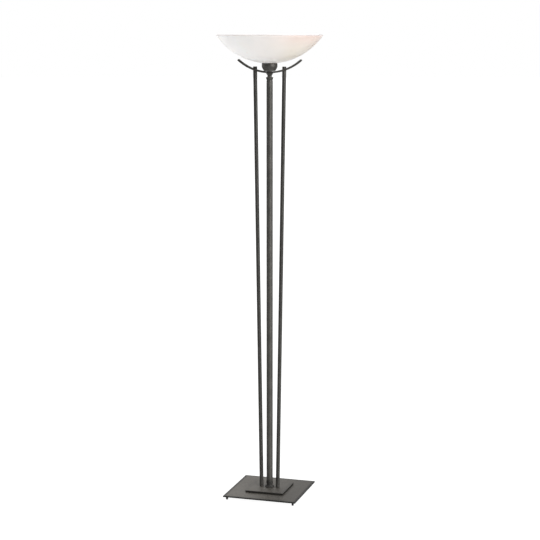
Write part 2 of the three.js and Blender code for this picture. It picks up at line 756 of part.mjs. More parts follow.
function addHolder() {
  const radius = holderDiameter / 2;
  addPiece(
    'holder_base',
    turned([
      [boreClear, holderBaseBottom],
      [radius, holderBaseBottom],
      [radius, holderBaseTop],
      [radius - holderWall, holderBaseTop],
      [radius - holderWall, holderBaseBottom + holderBaseFloor],
      [boreClear, holderBaseBottom + holderBaseFloor],
      [boreClear, holderBaseBottom],
    ]),
    phenolicFinish,
  );
  const body = turned([
    [0, holderBottom],
    [radius, holderBottom],
    [radius, holderTop],
    [holderBore / 2, holderTop],
    [holderBore / 2, holderFloorTop],
    [0, holderFloorTop],
  ]);
  const screwHoles = [-1, 1].map((side) => (
    disc(terminalShankDiameter + 2 * fitGap, holderBaseBottom, holderTop, sidesSmall)
      .translate(side * terminalSpread, 0, 0)
  ));
  addPiece('holder_body', cut(body, ...screwHoles), phenolicFinish);

  const headTop = holderBottom - terminalWireRoom;
  for (const [name, side] of [['line', 1], ['neutral', -1]]) {
    const screw = turned([
      [0, headTop - terminalHeadHeight],
      [terminalHeadDiameter / 2, headTop - terminalHeadHeight],
      [terminalHeadDiameter / 2, headTop],
      [terminalShankDiameter / 2, headTop],
      [terminalShankDiameter / 2, holderFloorTop],
      [0, holderFloorTop],
    ], sidesSmall);
    addPiece(`${name}_terminal_screw`, screw.translate(side * terminalSpread, 0, 0), brassFinish);
  }

  const stripBottom = holderFloorTop + fitGap;
  const stripTop = stripBottom + contactStripThickness;
  const stripEnd = terminalSpread + terminalShankDiameter / 2;
  const springReach = lampTipDiameter / 2;
  const leaf = new THREE.Shape([
    new THREE.Vector2(stripEnd, stripBottom),
    new THREE.Vector2(stripEnd, stripTop),
    new THREE.Vector2(springReach, stripTop),
    new THREE.Vector2(springReach - contactSpringSlope, stripTop + contactSpringRise),
    new THREE.Vector2(contactSpringSlope - springReach, stripTop + contactSpringRise),
    new THREE.Vector2(contactSpringSlope - springReach, stripBottom + contactSpringRise),
    new THREE.Vector2(springReach - contactSpringSlope - contactSpringBend, stripBottom + contactSpringRise),
    new THREE.Vector2(springReach - contactSpringBend, stripBottom),
  ]);
  const contact = new THREE.ExtrudeGeometry(leaf, {
    depth: contactStripWidth,
    steps: 1,
    bevelEnabled: false,
  }).rotateX(Math.PI / 2).translate(0, contactStripWidth / 2, 0);
  addPiece('centre_contact', contact, brassFinish);

  const shellBottom = holderFloorTop + shellStandOff;
  const shellTop = holderTop - shellBelowTop;
  const shellOuter = shellOuterDiameter / 2;
  const shellRoot = shellRootDiameter / 2;
  const rows = threadRows(shellBottom, shellTop).reverse();
  const shell = threaded(
    [[shellOuter, shellBottom], [shellOuter, shellTop], ...rows.map((height) => [shellRoot, height]),
      [shellOuter, shellBottom]],
    shellRoot,
    shellBottom,
    shellTop,
    true,
  );
  const tabOuter = shellTabInset - shellOuter;
  const tabLength = shellOuter - stripEnd + terminalShankDiameter;
  const tabFloor = new THREE.BoxGeometry(tabLength, contactStripWidth, contactStripThickness)
    .translate(tabOuter + tabLength / 2, 0, stripBottom + contactStripThickness / 2);
  const riserHeight = shellStandOff + shellTabOverlap;
  const riser = new THREE.BoxGeometry(contactStripThickness, contactStripWidth, riserHeight)
    .translate(tabOuter, 0, stripBottom + riserHeight / 2);
  addPiece('screw_shell', join(shell, tabFloor, riser), brassFinish);
}

// ---------------------------------------------------------------- lamp (light bulb)

function addLamp() {
  const tip = lampTipDiameter / 2;
  addPiece(
    'lamp_contact_tip',
    turned([
      [0, lampTipBottom],
      [lampTipFlat / 2, lampTipBottom + lampTipDome],
      [tip, lampTipBottom + lampTipHeight / 2],
      [tip, lampTipBottom + lampTipHeight],
      [0, lampTipBottom + lampTipHeight],
    ], sidesMedium),
    lampMetalFinish,
  );
  const insulator = lampInsulatorDiameter / 2;
  addPiece(
    'lamp_insulator',
    turned([
      [0, lampInsulatorBottom],
      [tip + lampInsulatorLip, lampInsulatorBottom],
      [insulator, lampInsulatorBottom + lampInsulatorHeight],
      [0, lampInsulatorBottom + lampInsulatorHeight],
    ], sidesMedium),
    phenolicFinish,
  );
  const root = lampThreadRoot / 2;
  const bore = root - lampBaseWall;
  const threadBottom = lampBaseBottom + lampBaseWall;
  const threadTop = lampBaseTop - lampBaseCollar;
  const rows = threadRows(threadBottom, threadTop);
  const collar = root + lampThreadDepth / 2;
  addPiece(
    'lamp_screw_base',
    threaded(
      [[insulator, lampBaseBottom], ...rows.map((height) => [root, height]),
        [collar, threadTop + lampThreadDepth], [collar, lampBaseTop], [bore, lampBaseTop],
        [bore, threadBottom + lampBaseWall], [insulator - lampBaseWall, lampBaseBottom],
        [insulator, lampBaseBottom]],
      root,
      threadBottom,
      threadTop,
      false,
    ),
    lampMetalFinish,
  );

  const ball = lampBallDiameter / 2;
  const ballCentre = lampTop - ball;
  const neckOuter = lampNeckDiameter / 2;
  const glassSide = (inset) => {
    const neckFoot = bore - fitGap - inset;
    const corners = [
      [neckFoot, lampGlassBottom],
      [neckFoot, lampBaseTop + fitGap],
      [neckOuter - inset, lampBaseTop + 3 * fitGap + lampGlassWall],
    ];
    const shoulderBottom = lampBaseTop + lampNeckHeight;
    for (let step = 0; step <= shoulderSteps; step += 1) {
      const along = step / shoulderSteps;
      const blend = (1 - Math.cos(Math.PI * along)) / 2;
      corners.push([
        neckOuter + (ball - neckOuter) * blend - inset,
        shoulderBottom + (ballCentre - shoulderBottom) * along,
      ]);
    }
    for (let step = 1; step < crownSteps; step += 1) {
      const angle = Math.PI / 2 * step / crownSteps;
      corners.push([(ball - inset) * Math.cos(angle), ballCentre + (ball - inset) * Math.sin(angle)]);
    }
    corners.push([0, ballCentre + ball - inset]);
    return corners;
  };
  const outside = glassSide(0);
  const inside = glassSide(lampGlassWall).reverse();
  addPiece('lamp_envelope', turned([...outside, ...inside, outside[0]], sidesMedium), lampGlassFinish);

  const stemBottom = lampGlassBottom;
  const flare = stemFlareDiameter / 2;
  const stem = stemDiameter / 2;
  const stemTop = stemBottom + stemHeight;
  addPiece(
    'lamp_stem',
    turned([
      [0, stemBottom],
      [flare, stemBottom],
      [stem, stemBottom + flare],
      [stem, stemTop],
      [0, stemTop],
    ], sidesSmall),
    lampGlassFinish,
  );
  const leadTop = stemTop + leadRise;
  const leadInner = stem + leadDiameter / 2 + fitGap;
  for (const [name, side] of [['left', -1], ['right', 1]]) {
    const lead = tube([
      [side * leadInner, 0, stemTop - leadInStem],
      [side * leadInner, 0, stemTop],
      [side * (leadInner + leadSpread) / 2, 0, stemTop + leadRise / 2],
      [side * leadSpread, 0, leadTop],
    ], leadDiameter, sidesLead, leadSteps);
    addPiece(`lamp_lead_${name}`, lead, filamentFinish);
  }
  const filamentEnd = leadSpread - leadDiameter / 2 - filamentDiameter / 2 - fitGap;
  const filament = tube([
    [-filamentEnd, 0, leadTop],
    [0, 0, leadTop + filamentArch],
    [filamentEnd, 0, leadTop],
  ], filamentDiameter, sidesLead, leadSteps);
  addPiece('lamp_filament', filament, filamentFinish);
}

// ---------------------------------------------------------------- wires inside the pole

function addWires() {
  const straightBottom = bushingTop - bushingFlangeHeight / 2;
  const bendBottom = headNippleTop - wireDiameter;
  const wireHeight = holderBottom - wireDiameter / 2 - fitGap / 2;
  const besideScrew = terminalShankDiameter / 2 + wireDiameter / 2 + fitGap;
  for (const [name, side] of [['line', 1], ['neutral', -1]]) {
    const x = side * wireSpacing / 2;
    const straightTop = bendBottom + wireDiameter / 2;
    const straight = disc(wireDiameter, straightBottom, straightTop, sidesWire).translate(x, 0, 0);
    const bend = tube([
      [x, 0, bendBottom],
      [x, 0, headNippleTop],
      [x, besideScrew / 2, (headNippleTop + wireHeight) / 2],
      [x + side * wireDiameter, besideScrew, wireHeight],
      [side * terminalSpread, besideScrew, wireHeight],
    ], wireDiameter, sidesBend, bendSteps);
    addPiece(`${name}_wire`, join(straight, bend), wireFinish);
  }
}

addFeet();
addPlates();
addFootFixings();
addPole();
addRods();
addCrescentBar();
addCup();
addBowl();
addRetainingRing();
addHolder();
addLamp();
addWires();

export default lamp;
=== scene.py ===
# Torchiere floor lamp: finish and fine surface of every piece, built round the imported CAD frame.
# Metres, +Z up, the floor at z = 0, the pole on the Z axis, the crescent bar along X.
import json
import math
import bmesh
import bpy
from mathutils import Matrix, Vector, noise


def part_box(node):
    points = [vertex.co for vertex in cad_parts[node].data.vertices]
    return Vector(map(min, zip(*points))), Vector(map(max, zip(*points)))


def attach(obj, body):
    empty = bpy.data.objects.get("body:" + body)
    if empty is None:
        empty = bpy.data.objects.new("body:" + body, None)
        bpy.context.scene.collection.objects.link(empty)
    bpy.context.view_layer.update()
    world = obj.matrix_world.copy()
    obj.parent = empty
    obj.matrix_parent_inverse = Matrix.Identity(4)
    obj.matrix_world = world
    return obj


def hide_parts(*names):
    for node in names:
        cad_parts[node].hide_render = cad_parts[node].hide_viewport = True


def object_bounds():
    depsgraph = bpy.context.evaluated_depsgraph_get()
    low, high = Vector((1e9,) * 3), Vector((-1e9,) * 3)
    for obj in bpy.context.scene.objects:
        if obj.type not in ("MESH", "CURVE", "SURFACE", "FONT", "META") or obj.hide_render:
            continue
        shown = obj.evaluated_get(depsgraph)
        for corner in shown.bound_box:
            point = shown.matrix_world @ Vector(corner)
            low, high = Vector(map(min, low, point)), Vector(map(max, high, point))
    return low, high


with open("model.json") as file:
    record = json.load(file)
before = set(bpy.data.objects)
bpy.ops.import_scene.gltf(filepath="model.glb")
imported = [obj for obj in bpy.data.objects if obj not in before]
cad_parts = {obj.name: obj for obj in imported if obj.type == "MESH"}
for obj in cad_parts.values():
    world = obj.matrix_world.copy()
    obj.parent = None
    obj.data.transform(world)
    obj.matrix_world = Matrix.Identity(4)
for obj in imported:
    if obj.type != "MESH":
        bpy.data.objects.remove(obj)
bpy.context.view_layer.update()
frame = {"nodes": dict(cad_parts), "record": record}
NODES = frame["nodes"]

FIT_GAP = 0.0003  # daylight between two pieces that touch

# ---------------------------------------------------------------- camera

LENS_MM = 99.37
SENSOR_MM = 36
CAMERA_AZIMUTH = math.radians(16.906)
CAMERA_PITCH = math.radians(8.982)
CAMERA_DISTANCE = 5.9386
CAMERA_SIDE = 0.00146
CAMERA_ABOVE_PLATE = 1.8515


def add_camera():
    data = bpy.data.cameras.new("camera")
    data.lens = LENS_MM
    data.sensor_width = SENSOR_MM
    data.clip_end = 200
    camera = bpy.data.objects.new("camera", data)
    bpy.context.scene.collection.objects.link(camera)
    away = Vector((math.sin(CAMERA_AZIMUTH), -math.cos(CAMERA_AZIMUTH), 0))
    across = Vector((math.cos(CAMERA_AZIMUTH), math.sin(CAMERA_AZIMUTH), 0))
    height = high("base_plate").z + CAMERA_ABOVE_PLATE
    camera.location = away * CAMERA_DISTANCE + across * CAMERA_SIDE + Vector((0, 0, height))
    camera.rotation_euler = (math.pi / 2 - CAMERA_PITCH, 0, CAMERA_AZIMUTH)
    bpy.context.scene.camera = camera


# ---------------------------------------------------------------- measures from the frame


def low(node):
    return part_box(node)[0]


def high(node):
    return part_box(node)[1]


def radius_of(node):
    """Radius of a piece on the Z axis, or half the side of a square one."""
    return max(high(node).x, high(node).y)


def round_size(node):
    """Radius, bottom and top of a round piece on the Z axis."""
    return high(node).y, low(node).z, high(node).z


# ---------------------------------------------------------------- mesh helpers

SMOOTH_BELOW = math.radians(32)


def new_piece(name, mesh, nodes, material):
    """Adds a mesh piece that stands for some CAD nodes of one body."""
    mesh.materials.append(material)
    mesh.shade_smooth()
    mesh.set_sharp_from_angle(angle=SMOOTH_BELOW)
    piece = bpy.data.objects.new(name, mesh)
    bpy.context.scene.collection.objects.link(piece)
    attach(piece, body_of(nodes[0]))
    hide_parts(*nodes)
    return piece


def body_of(node):
    return next(body for body, members in frame["record"]["behaviour"]["bodies"].items() if node in members)


def mesh_from(name, corners, faces):
    mesh = bpy.data.meshes.new(name)
    mesh.from_pydata([tuple(corner) for corner in corners], [], faces)
    build = bmesh.new()
    build.from_mesh(mesh)
    bmesh.ops.recalc_face_normals(build, faces=build.faces)
    build.to_mesh(mesh)
    build.free()
    return mesh


SIDE_SHARE = 0.49  # most of a side that one rounding takes up, so that two never meet


def rounded(corners, steps=4, closed=True):
    """Outline from (radius, height, rounding) corners, each rounded by its own amount."""
    outline = []
    last = len(corners) - 1
    for i, (radius, height, rounding) in enumerate(corners):
        here = Vector((radius, height))
        if rounding <= 0 or (not closed and i in (0, last)):
            outline.append(here)
            continue
        before = Vector(corners[i - 1][:2]) - here
        after = Vector(corners[(i + 1) % len(corners)][:2]) - here
        reach = min(rounding, before.length * SIDE_SHARE, after.length * SIDE_SHARE)
        start = here + before.normalized() * reach
        end = here + after.normalized() * reach
        for step in range(steps + 1):
            t = step / steps
            outline.append((1 - t) ** 2 * start + 2 * t * (1 - t) * here + t**2 * end)
    return outline


ON_AXIS = 1e-7


def turned_mesh(name, outline, sides=96, closed=True, shape=None):
    """Turned mesh about the Z axis. shape(radius, height, angle) may change a corner's radius."""
    corners = []
    rows = []
    for radius, height in outline:
        if radius < ON_AXIS:
            rows.append([len(corners)] * sides)
            corners.append((0, 0, height))
            continue
        rows.append(list(range(len(corners), len(corners) + sides)))
        for side in range(sides):
            angle = 2 * math.pi * side / sides
            reach = shape(radius, height, angle) if shape else radius
            corners.append((reach * math.cos(angle), reach * math.sin(angle), height))
    faces = []
    pairs = list(zip(rows, rows[1:]))
    if closed:
        pairs.append((rows[-1], rows[0]))
    for lower, upper in pairs:
        for side in range(sides):
            after = (side + 1) % sides
            loop = [lower[side], lower[after], upper[after], upper[side]]
            face = list(dict.fromkeys(loop))
            if len(face) > 2:
                faces.append(face)
    return mesh_from(name, corners, faces)


def ring_corners(inner, outer, bottom, top, rounding):
    return [
        (inner, bottom, rounding / 2),
        (outer, bottom, rounding),
        (outer, top, rounding),
        (inner, top, rounding / 2),
    ]


# Unevenness that each way of working leaves: its depth, and how many waves there are to a metre.
ROLLED_PLATE = (0.00018, 28)
DRAWN_BAR = (0.00014, 34)
BENT_BAR = (0.00014, 40)
TURNED_END = (0.00008, 90)
TURNED_CUP = (0.00008, 70)
SLUMPED_GLASS = (0.00012, 18)

# Where each piece lies in the noise, so that no two are uneven in the same way.
NOISE_PLACE = {
    "base_plate": 3.1,
    "step_plate": 8.1,
    "pole_flange": 1.7,
    "pole_tube": 2.9,
    "pole_collar": 4.3,
    "neck_cone": 5.9,
    "left_rod": 7.3,
    "right_rod": 10.3,
    "left_rod_cap": 11.3,
    "right_rod_cap": 14.3,
    "crescent_bar": 13.7,
    "cup": 15.1,
    "glass_bowl": 17.9,
}


def forged(mesh, node, working):
    """Moves every corner a little along its normal, as hammering, rolling or slumping leave it."""
    depth, grain = working
    place = NOISE_PLACE[node]
    offset = Vector((place, place * 0.37, place * 0.71))
    normals = [vertex.normal.copy() for vertex in mesh.vertices]
    for vertex, normal in zip(mesh.vertices, normals):
        vertex.co += normal * depth * noise.noise(vertex.co * grain + offset)
    return mesh


def turn_piece(name, node, slot, material, corners, working=None, steps=4, closed=True, **turning):
    """Turned piece in place of one CAD node, from (radius, height, rounding) corners."""
    mesh = turned_mesh(name, rounded(corners, steps, closed), closed=closed, **turning)
    if working:
        forged(mesh, node, working)
    return new_piece(name, mesh, [node], material)


# ---------------------------------------------------------------- material helpers


class Maker:
    """Short hand for building a node tree."""

    def __init__(self, tree):
        self.tree = tree

    def node(self, kind, **settings):
        node = self.tree.nodes.new(kind)
        for key, value in settings.items():
            setattr(node, key, value)
        return node

    def feed(self, socket, value):
        if isinstance(value, bpy.types.NodeSocket):
            self.tree.links.new(value, socket)
        else:
            socket.default_value = value

    def math(self, operation, first, second=0.0, clamp=False):
        node = self.node("ShaderNodeMath", operation=operation, use_clamp=clamp)
        self.feed(node.inputs[0], first)
        self.feed(node.inputs[1], second)
        return node.outputs[0]

    def mix(self, factor, first, second, blend="MIX"):
        node = self.node("ShaderNodeMix", data_type="RGBA", blend_type=blend)
        self.feed(node.inputs["Factor"], factor)
        self.feed(node.inputs[6], first)
        self.feed(node.inputs[7], second)
        return node.outputs[2]

    def mix_value(self, factor, first, second):
        node = self.node("ShaderNodeMix", data_type="FLOAT")
        self.feed(node.inputs["Factor"], factor)
        self.feed(node.inputs[2], first)
        self.feed(node.inputs[3], second)
        return node.outputs[0]

    def span(self, value, from_low, from_high, to_low, to_high):
        node = self.node("ShaderNodeMapRange", interpolation_type="SMOOTHSTEP")
        self.feed(node.inputs["Value"], value)
        self.feed(node.inputs["From Min"], from_low)
        self.feed(node.inputs["From Max"], from_high)
        self.feed(node.inputs["To Min"], to_low)
        self.feed(node.inputs["To Max"], to_high)
        return node.outputs["Result"]

    def noise(self, vector, scale, detail=4.0, rough=0.55):
        node = self.node("ShaderNodeTexNoise")
        self.feed(node.inputs["Vector"], vector)
        self.feed(node.inputs["Scale"], scale)
        self.feed(node.inputs["Detail"], detail)
        self.feed(node.inputs["Roughness"], rough)
        return node.outputs["Fac"]

    def place(self):
        return self.node("ShaderNodeTexCoord").outputs["Object"]


def new_group(name, inputs, outputs):
    """Node group with named inputs (name, kind, default) and outputs (name, kind)."""
    tree = bpy.data.node_groups.new(name, "ShaderNodeTree")
    for label, kind, default in inputs:
        socket = tree.interface.new_socket(name=label, in_out="INPUT", socket_type=kind)
        socket.default_value = default
    for label, kind in outputs:
        tree.interface.new_socket(name=label, in_out="OUTPUT", socket_type=kind)
    maker = Maker(tree)
    return maker, maker.node("NodeGroupInput").outputs, maker.node("NodeGroupOutput").inputs


FLOAT = "NodeSocketFloat"
COLOR = "NodeSocketColor"
GREY = (0.5, 0.5, 0.5, 1)


def make_rough_skin():
    """Grain and mottling of a cast, forged or moulded skin."""
    maker, given, result = new_group(
        "rough_skin",
        [
            ("Color", COLOR, GREY),
            ("Dark Color", COLOR, GREY),
            ("Light Color", COLOR, GREY),
            ("Grain Size mm", FLOAT, 1.0),
            ("Mottle Size mm", FLOAT, 30.0),
            ("Roughness", FLOAT, 0.5),
            ("Roughness Spread", FLOAT, 0.1),
        ],
        [("Color", COLOR), ("Roughness", FLOAT), ("Height", FLOAT)],
    )
    place = maker.place()
    grain_scale = maker.math("DIVIDE", 1000.0, given["Grain Size mm"])
    mottle_scale = maker.math("DIVIDE", 1000.0, given["Mottle Size mm"])
    grain = maker.noise(place, grain_scale, detail=3.0)
    mottle = maker.noise(place, mottle_scale, detail=5.0, rough=0.6)
    pits = maker.span(grain, 0.3, 0.48, 1.0, 0.0)
    specks = maker.span(grain, 0.55, 0.72, 0.0, 1.0)
    blotch = maker.span(mottle, 0.35, 0.65, 0.0, 1.0)
    clouded = maker.mix(maker.math("MULTIPLY", blotch, 0.45), given["Color"], given["Light Color"])
    pitted = maker.mix(maker.math("MULTIPLY", pits, 0.55), clouded, given["Dark Color"])
    speckled = maker.mix(maker.math("MULTIPLY", specks, 0.5), pitted, given["Light Color"])
    maker.feed(result["Color"], speckled)
    swing = maker.math("SUBTRACT", mottle, 0.5)
    spread = maker.math("MULTIPLY", swing, given["Roughness Spread"])
    grainy = maker.math("MULTIPLY", maker.math("SUBTRACT", grain, 0.5), given["Roughness Spread"])
    both = maker.math("ADD", maker.math("MULTIPLY", spread, 3.0), grainy)
    maker.feed(result["Roughness"], maker.math("ADD", given["Roughness"], both, clamp=True))
    maker.feed(result["Height"], maker.math("ADD", grain, maker.math("MULTIPLY", mottle, 0.6)))
    return maker.tree


def make_edge_wear():
    """Mask of the edges that hands and cloths have rubbed, broken up by noise."""
    maker, given, result = new_group(
        "edge_wear",
        [("Amount", FLOAT, 0.5), ("Breakup Size mm", FLOAT, 6.0)],
        [("Mask", FLOAT)],
    )
    pointed = maker.node("ShaderNodeNewGeometry").outputs["Pointiness"]
    edge = maker.span(pointed, 0.505, 0.56, 0.0, 1.0)
    breakup_scale = maker.math("DIVIDE", 1000.0, given["Breakup Size mm"])
    breakup = maker.span(maker.noise(maker.place(), breakup_scale), 0.4, 0.62, 0.0, 1.0)
    worn = maker.math("MULTIPLY", edge, maker.math("ADD", maker.math("MULTIPLY", breakup, 0.7), 0.3))
    maker.feed(result["Mask"], maker.math("MULTIPLY", worn, given["Amount"], clamp=True))
    return maker.tree


def make_settled_dust():
    """Mask of the faint dust that lies on what faces up."""
    maker, given, result = new_group(
        "settled_dust",
        [("Amount", FLOAT, 0.2), ("Patch Size mm", FLOAT, 60.0)],
        [("Mask", FLOAT)],
    )
    normal = maker.node("ShaderNodeNewGeometry").outputs["Normal"]
    split = maker.node("ShaderNodeSeparateXYZ")
    maker.feed(split.inputs[0], normal)
    upward = maker.span(split.outputs["Z"], 0.55, 0.98, 0.0, 1.0)
    patch_scale = maker.math("DIVIDE", 1000.0, given["Patch Size mm"])
    patches = maker.span(maker.noise(maker.place(), patch_scale, detail=6.0), 0.3, 0.7, 0.7, 1.0)
    patchy = maker.math("MULTIPLY", upward, patches)
    maker.feed(result["Mask"], maker.math("MULTIPLY", patchy, given["Amount"]))
    return maker.tree


ROUGH_SKIN = make_rough_skin()
EDGE_WEAR = make_edge_wear()
SETTLED_DUST = make_settled_dust()


def place_group(maker, tree, **values):
    node = maker.node("ShaderNodeGroup", node_tree=tree)
    for label, value in values.items():
        maker.feed(node.inputs[label.replace("_", " ")], value)
    return node


def start_material(name):
    material = bpy.data.materials.new(name)
    material.use_nodes = True
    maker = Maker(material.node_tree)
    shader = material.node_tree.nodes["Principled BSDF"]
    return material, maker, shader


def add_bump(maker, shader, height, strength, depth_mm):
    bump = maker.node("ShaderNodeBump")
    bump.inputs["Strength"].default_value = strength
    bump.inputs["Distance"].default_value = depth_mm / 1000
    maker.feed(bump.inputs["Height"], height)
    maker.feed(shader.inputs["Normal"], bump.outputs["Normal"])


IRON_MAIN = (0.062, 0.0595, 0.054)
IRON_DARK = (0.027, 0.0255, 0.023)
IRON_LIGHT = (0.105, 0.1, 0.091)
IRON_RUBBED = (0.16, 0.15, 0.135, 1)
DUST_COLOR = (0.29, 0.265, 0.23, 1)
IRON_BREAKUP_MM = 9.0
BAR_GRAIN_MM = 2.2
PLATE_GRAIN_MM = 11.0
PLATE_TONE = 0.4
PLATE_DUST = 0.22
# Painted light on the plates: their iron is lighter towards the left and darker towards the right, by this
# share, between these two X places.
PLATE_PAINTED_LIGHT_SWING = 0.25
PLATE_PAINTED_LIGHT_FROM = -0.15
PLATE_PAINTED_LIGHT_TO = 0.14
# Painted shade: each plate is darker in a band this wide along its edges and over its sides, by the tone
# given for it.
EDGE_SHADE_WIDTH = 0.014
EDGE_SHADE_TONE = {"base_plate": 0.35, "step_plate": 0.85}


def toned(color, tone):
    return (*(channel * tone for channel in color), 1)


def start_iron(name, tone, grain, roughness):
    """Material with the grain and cloudy patina of dark, warm-grey iron, and its colour for more work."""
    material, maker, shader = start_material(name)
    skin = place_group(
        maker,
        ROUGH_SKIN,
        Color=toned(IRON_MAIN, tone),
        Dark_Color=toned(IRON_DARK, tone),
        Light_Color=toned(IRON_LIGHT, tone),
        Grain_Size_mm=grain,
        Mottle_Size_mm=38.0,
        Roughness=roughness,
        Roughness_Spread=0.1,
    )
    maker.feed(shader.inputs["Roughness"], skin.outputs["Roughness"])
    add_bump(maker, shader, skin.outputs["Height"], 0.5, 0.3)
    return material, maker, shader, skin.outputs["Color"]


def iron_material(name, tone, wear=0.15, roughness=0.45):
    """Wrought iron bar, tube and turned work, with edges rubbed a little lighter."""
    material, maker, shader, color = start_iron(name, tone, BAR_GRAIN_MM, roughness)
    rubbed = place_group(maker, EDGE_WEAR, Amount=wear, Breakup_Size_mm=IRON_BREAKUP_MM)
    maker.feed(shader.inputs["Base Color"], maker.mix(rubbed.outputs["Mask"], color, IRON_RUBBED))
    shader.inputs["Metallic"].default_value = 0.5
    return material


def plate_material(node, edge_shade_tone):
    """Rolled iron plate: faint dust on top, painted shade in a narrow border along its edges and over its
    sides, and painted light that makes it lighter towards its left.
    """
    material, maker, shader, color = start_iron(f"wrought_iron_{node}", PLATE_TONE, PLATE_GRAIN_MM, 0.45)
    settled = place_group(maker, SETTLED_DUST, Amount=PLATE_DUST, Patch_Size_mm=IRON_BREAKUP_MM)
    dusty = maker.mix(settled.outputs["Mask"], color, DUST_COLOR)
    split = maker.node("ShaderNodeSeparateXYZ")
    maker.feed(split.inputs[0], maker.place())
    x, y = split.outputs["X"], split.outputs["Y"]
    lighter, darker = 1 + PLATE_PAINTED_LIGHT_SWING, 1 - PLATE_PAINTED_LIGHT_SWING
    # painted light: lighter on the plate's left, darker on its right
    fade = maker.span(x, PLATE_PAINTED_LIGHT_FROM, PLATE_PAINTED_LIGHT_TO, lighter, darker)
    out = maker.math("MAXIMUM", maker.math("ABSOLUTE", x), maker.math("ABSOLUTE", y))
    half_side = radius_of(node)
    # painted shade along the plate's edges and over its sides
    edge_shade = maker.span(out, half_side - EDGE_SHADE_WIDTH, half_side - EDGE_SHADE_WIDTH / 3, 1.0, edge_shade_tone)
    shading = maker.math("MULTIPLY", fade, edge_shade)
    tint = maker.node("ShaderNodeCombineColor")
    for channel in ("Red", "Green", "Blue"):
        maker.feed(tint.inputs[channel], shading)
    maker.feed(shader.inputs["Base Color"], maker.mix(1.0, dusty, tint.outputs[0], blend="MULTIPLY"))
    shader.inputs["Metallic"].default_value = 0.3
    shader.inputs["Specular IOR Level"].default_value = 0.25
    return material


RIM_SHADE_FROM = high("glass_bowl").z - 0.006
RIM_SHADE_TO = high("glass_bowl").z - 0.002
# Painted light and shade on the opal glass: lighter and cool on its left, and darker and warm on its right,
# which is painted shade with a painted warm reflection and is pinker higher up.
OPAL_PAINTED_LIGHT_LEFT = (1.0, 0.985, 0.98, 1)
OPAL_PAINTED_MIDDLE = (0.94, 0.865, 0.83, 1)
OPAL_SHADE_RIGHT_LOW = (0.86, 0.75, 0.63, 1)
OPAL_SHADE_RIGHT_HIGH = (0.77, 0.59, 0.54, 1)
# Painted shade on the bowl's upward-facing inside and lip.
OPAL_INSIDE_SHADE = (0.6, 0.585, 0.57, 1)
OPAL_WISPS = (0.95, 0.94, 0.93, 1)
# Painted shade: the glass is greyer in a narrow band along its rim.
OPAL_RIM_SHADE = (0.52, 0.48, 0.48, 1)
# Painted glow: the glass gives off faint light on its left, less in the middle, and none on its right or
# inside, at this strength.
PAINTED_GLOW_LEFT = (1.0, 0.98, 0.965, 1)
PAINTED_GLOW_MIDDLE = (0.5, 0.46, 0.44, 1)
NO_GLOW = (0, 0, 0, 1)
OPAL_PAINTED_GLOW = 0.1
OPAL_SCATTER = (0.02, 0.019, 0.018)


def opal_material():
    """Opal white glass with painted light and shade: lighter and cool on its left, darker and warm on its
    right with a painted warm reflection, painted shade on its upward-facing inside, and a painted grey shade
    along its rim.

    Outside it has a faint painted glow on its left side, where light would scatter through the bowl.
    """
    material, maker, shader = start_material("opal_glass")
    place = maker.place()
    split = maker.node("ShaderNodeSeparateXYZ")
    maker.feed(split.inputs[0], place)
    cloud = maker.noise(place, 5.0, detail=2.0)
    sway = maker.math("MULTIPLY", maker.math("SUBTRACT", cloud, 0.5), 0.12)
    drift = maker.math("ADD", split.outputs["X"], sway)
    left_half = maker.span(drift, -0.2, 0.05, 0.0, 1.0)
    right_half = maker.span(drift, -0.03, 0.18, 0.0, 1.0)
    upper = maker.span(split.outputs["Z"], low("glass_bowl").z + 0.03, high("glass_bowl").z, 0.0, 1.0)
    # painted shade and warm reflection on the right, painted light on the left
    warm = maker.mix(upper, OPAL_SHADE_RIGHT_LOW, OPAL_SHADE_RIGHT_HIGH)
    outside = maker.mix(right_half, maker.mix(left_half, OPAL_PAINTED_LIGHT_LEFT, OPAL_PAINTED_MIDDLE), warm)
    facing = maker.node("ShaderNodeSeparateXYZ")
    maker.feed(facing.inputs[0], maker.node("ShaderNodeTexCoord").outputs["Normal"])
    # painted shade on faces that point up, the bowl's inside
    inside = maker.span(facing.outputs["Z"], -0.05, 0.25, 0.0, 1.0)
    body = maker.mix(inside, outside, OPAL_INSIDE_SHADE)
    wisps = maker.span(maker.noise(place, 7.0, detail=3.0), 0.35, 0.75, 0.0, 0.12)
    clouded = maker.mix(wisps, body, OPAL_WISPS)
    # painted grey shade along the rim
    rim = maker.span(split.outputs["Z"], RIM_SHADE_FROM, RIM_SHADE_TO, 0.0, 1.0)
    maker.feed(shader.inputs["Base Color"], maker.mix(rim, clouded, OPAL_RIM_SHADE))
    # painted glow, brightest on the left
    painted_glow = maker.mix(right_half, maker.mix(left_half, PAINTED_GLOW_LEFT, PAINTED_GLOW_MIDDLE), NO_GLOW)
    maker.feed(shader.inputs["Emission Color"], maker.mix(inside, painted_glow, NO_GLOW))
    shader.inputs["Emission Strength"].default_value = OPAL_PAINTED_GLOW
    gloss = maker.math("MULTIPLY", maker.noise(place, 25.0), 0.12)
    maker.feed(shader.inputs["Roughness"], maker.math("ADD", gloss, 0.24))
    shader.inputs["Subsurface Weight"].default_value = 0.9
    shader.inputs["Subsurface Radius"].default_value = OPAL_SCATTER
    shader.inputs["Subsurface Scale"].default_value = 1.0
    shader.inputs["IOR"].default_value = 1.5
    add_bump(maker, shader, maker.noise(place, 60.0, detail=2.0), 0.12, 0.3)
    return material


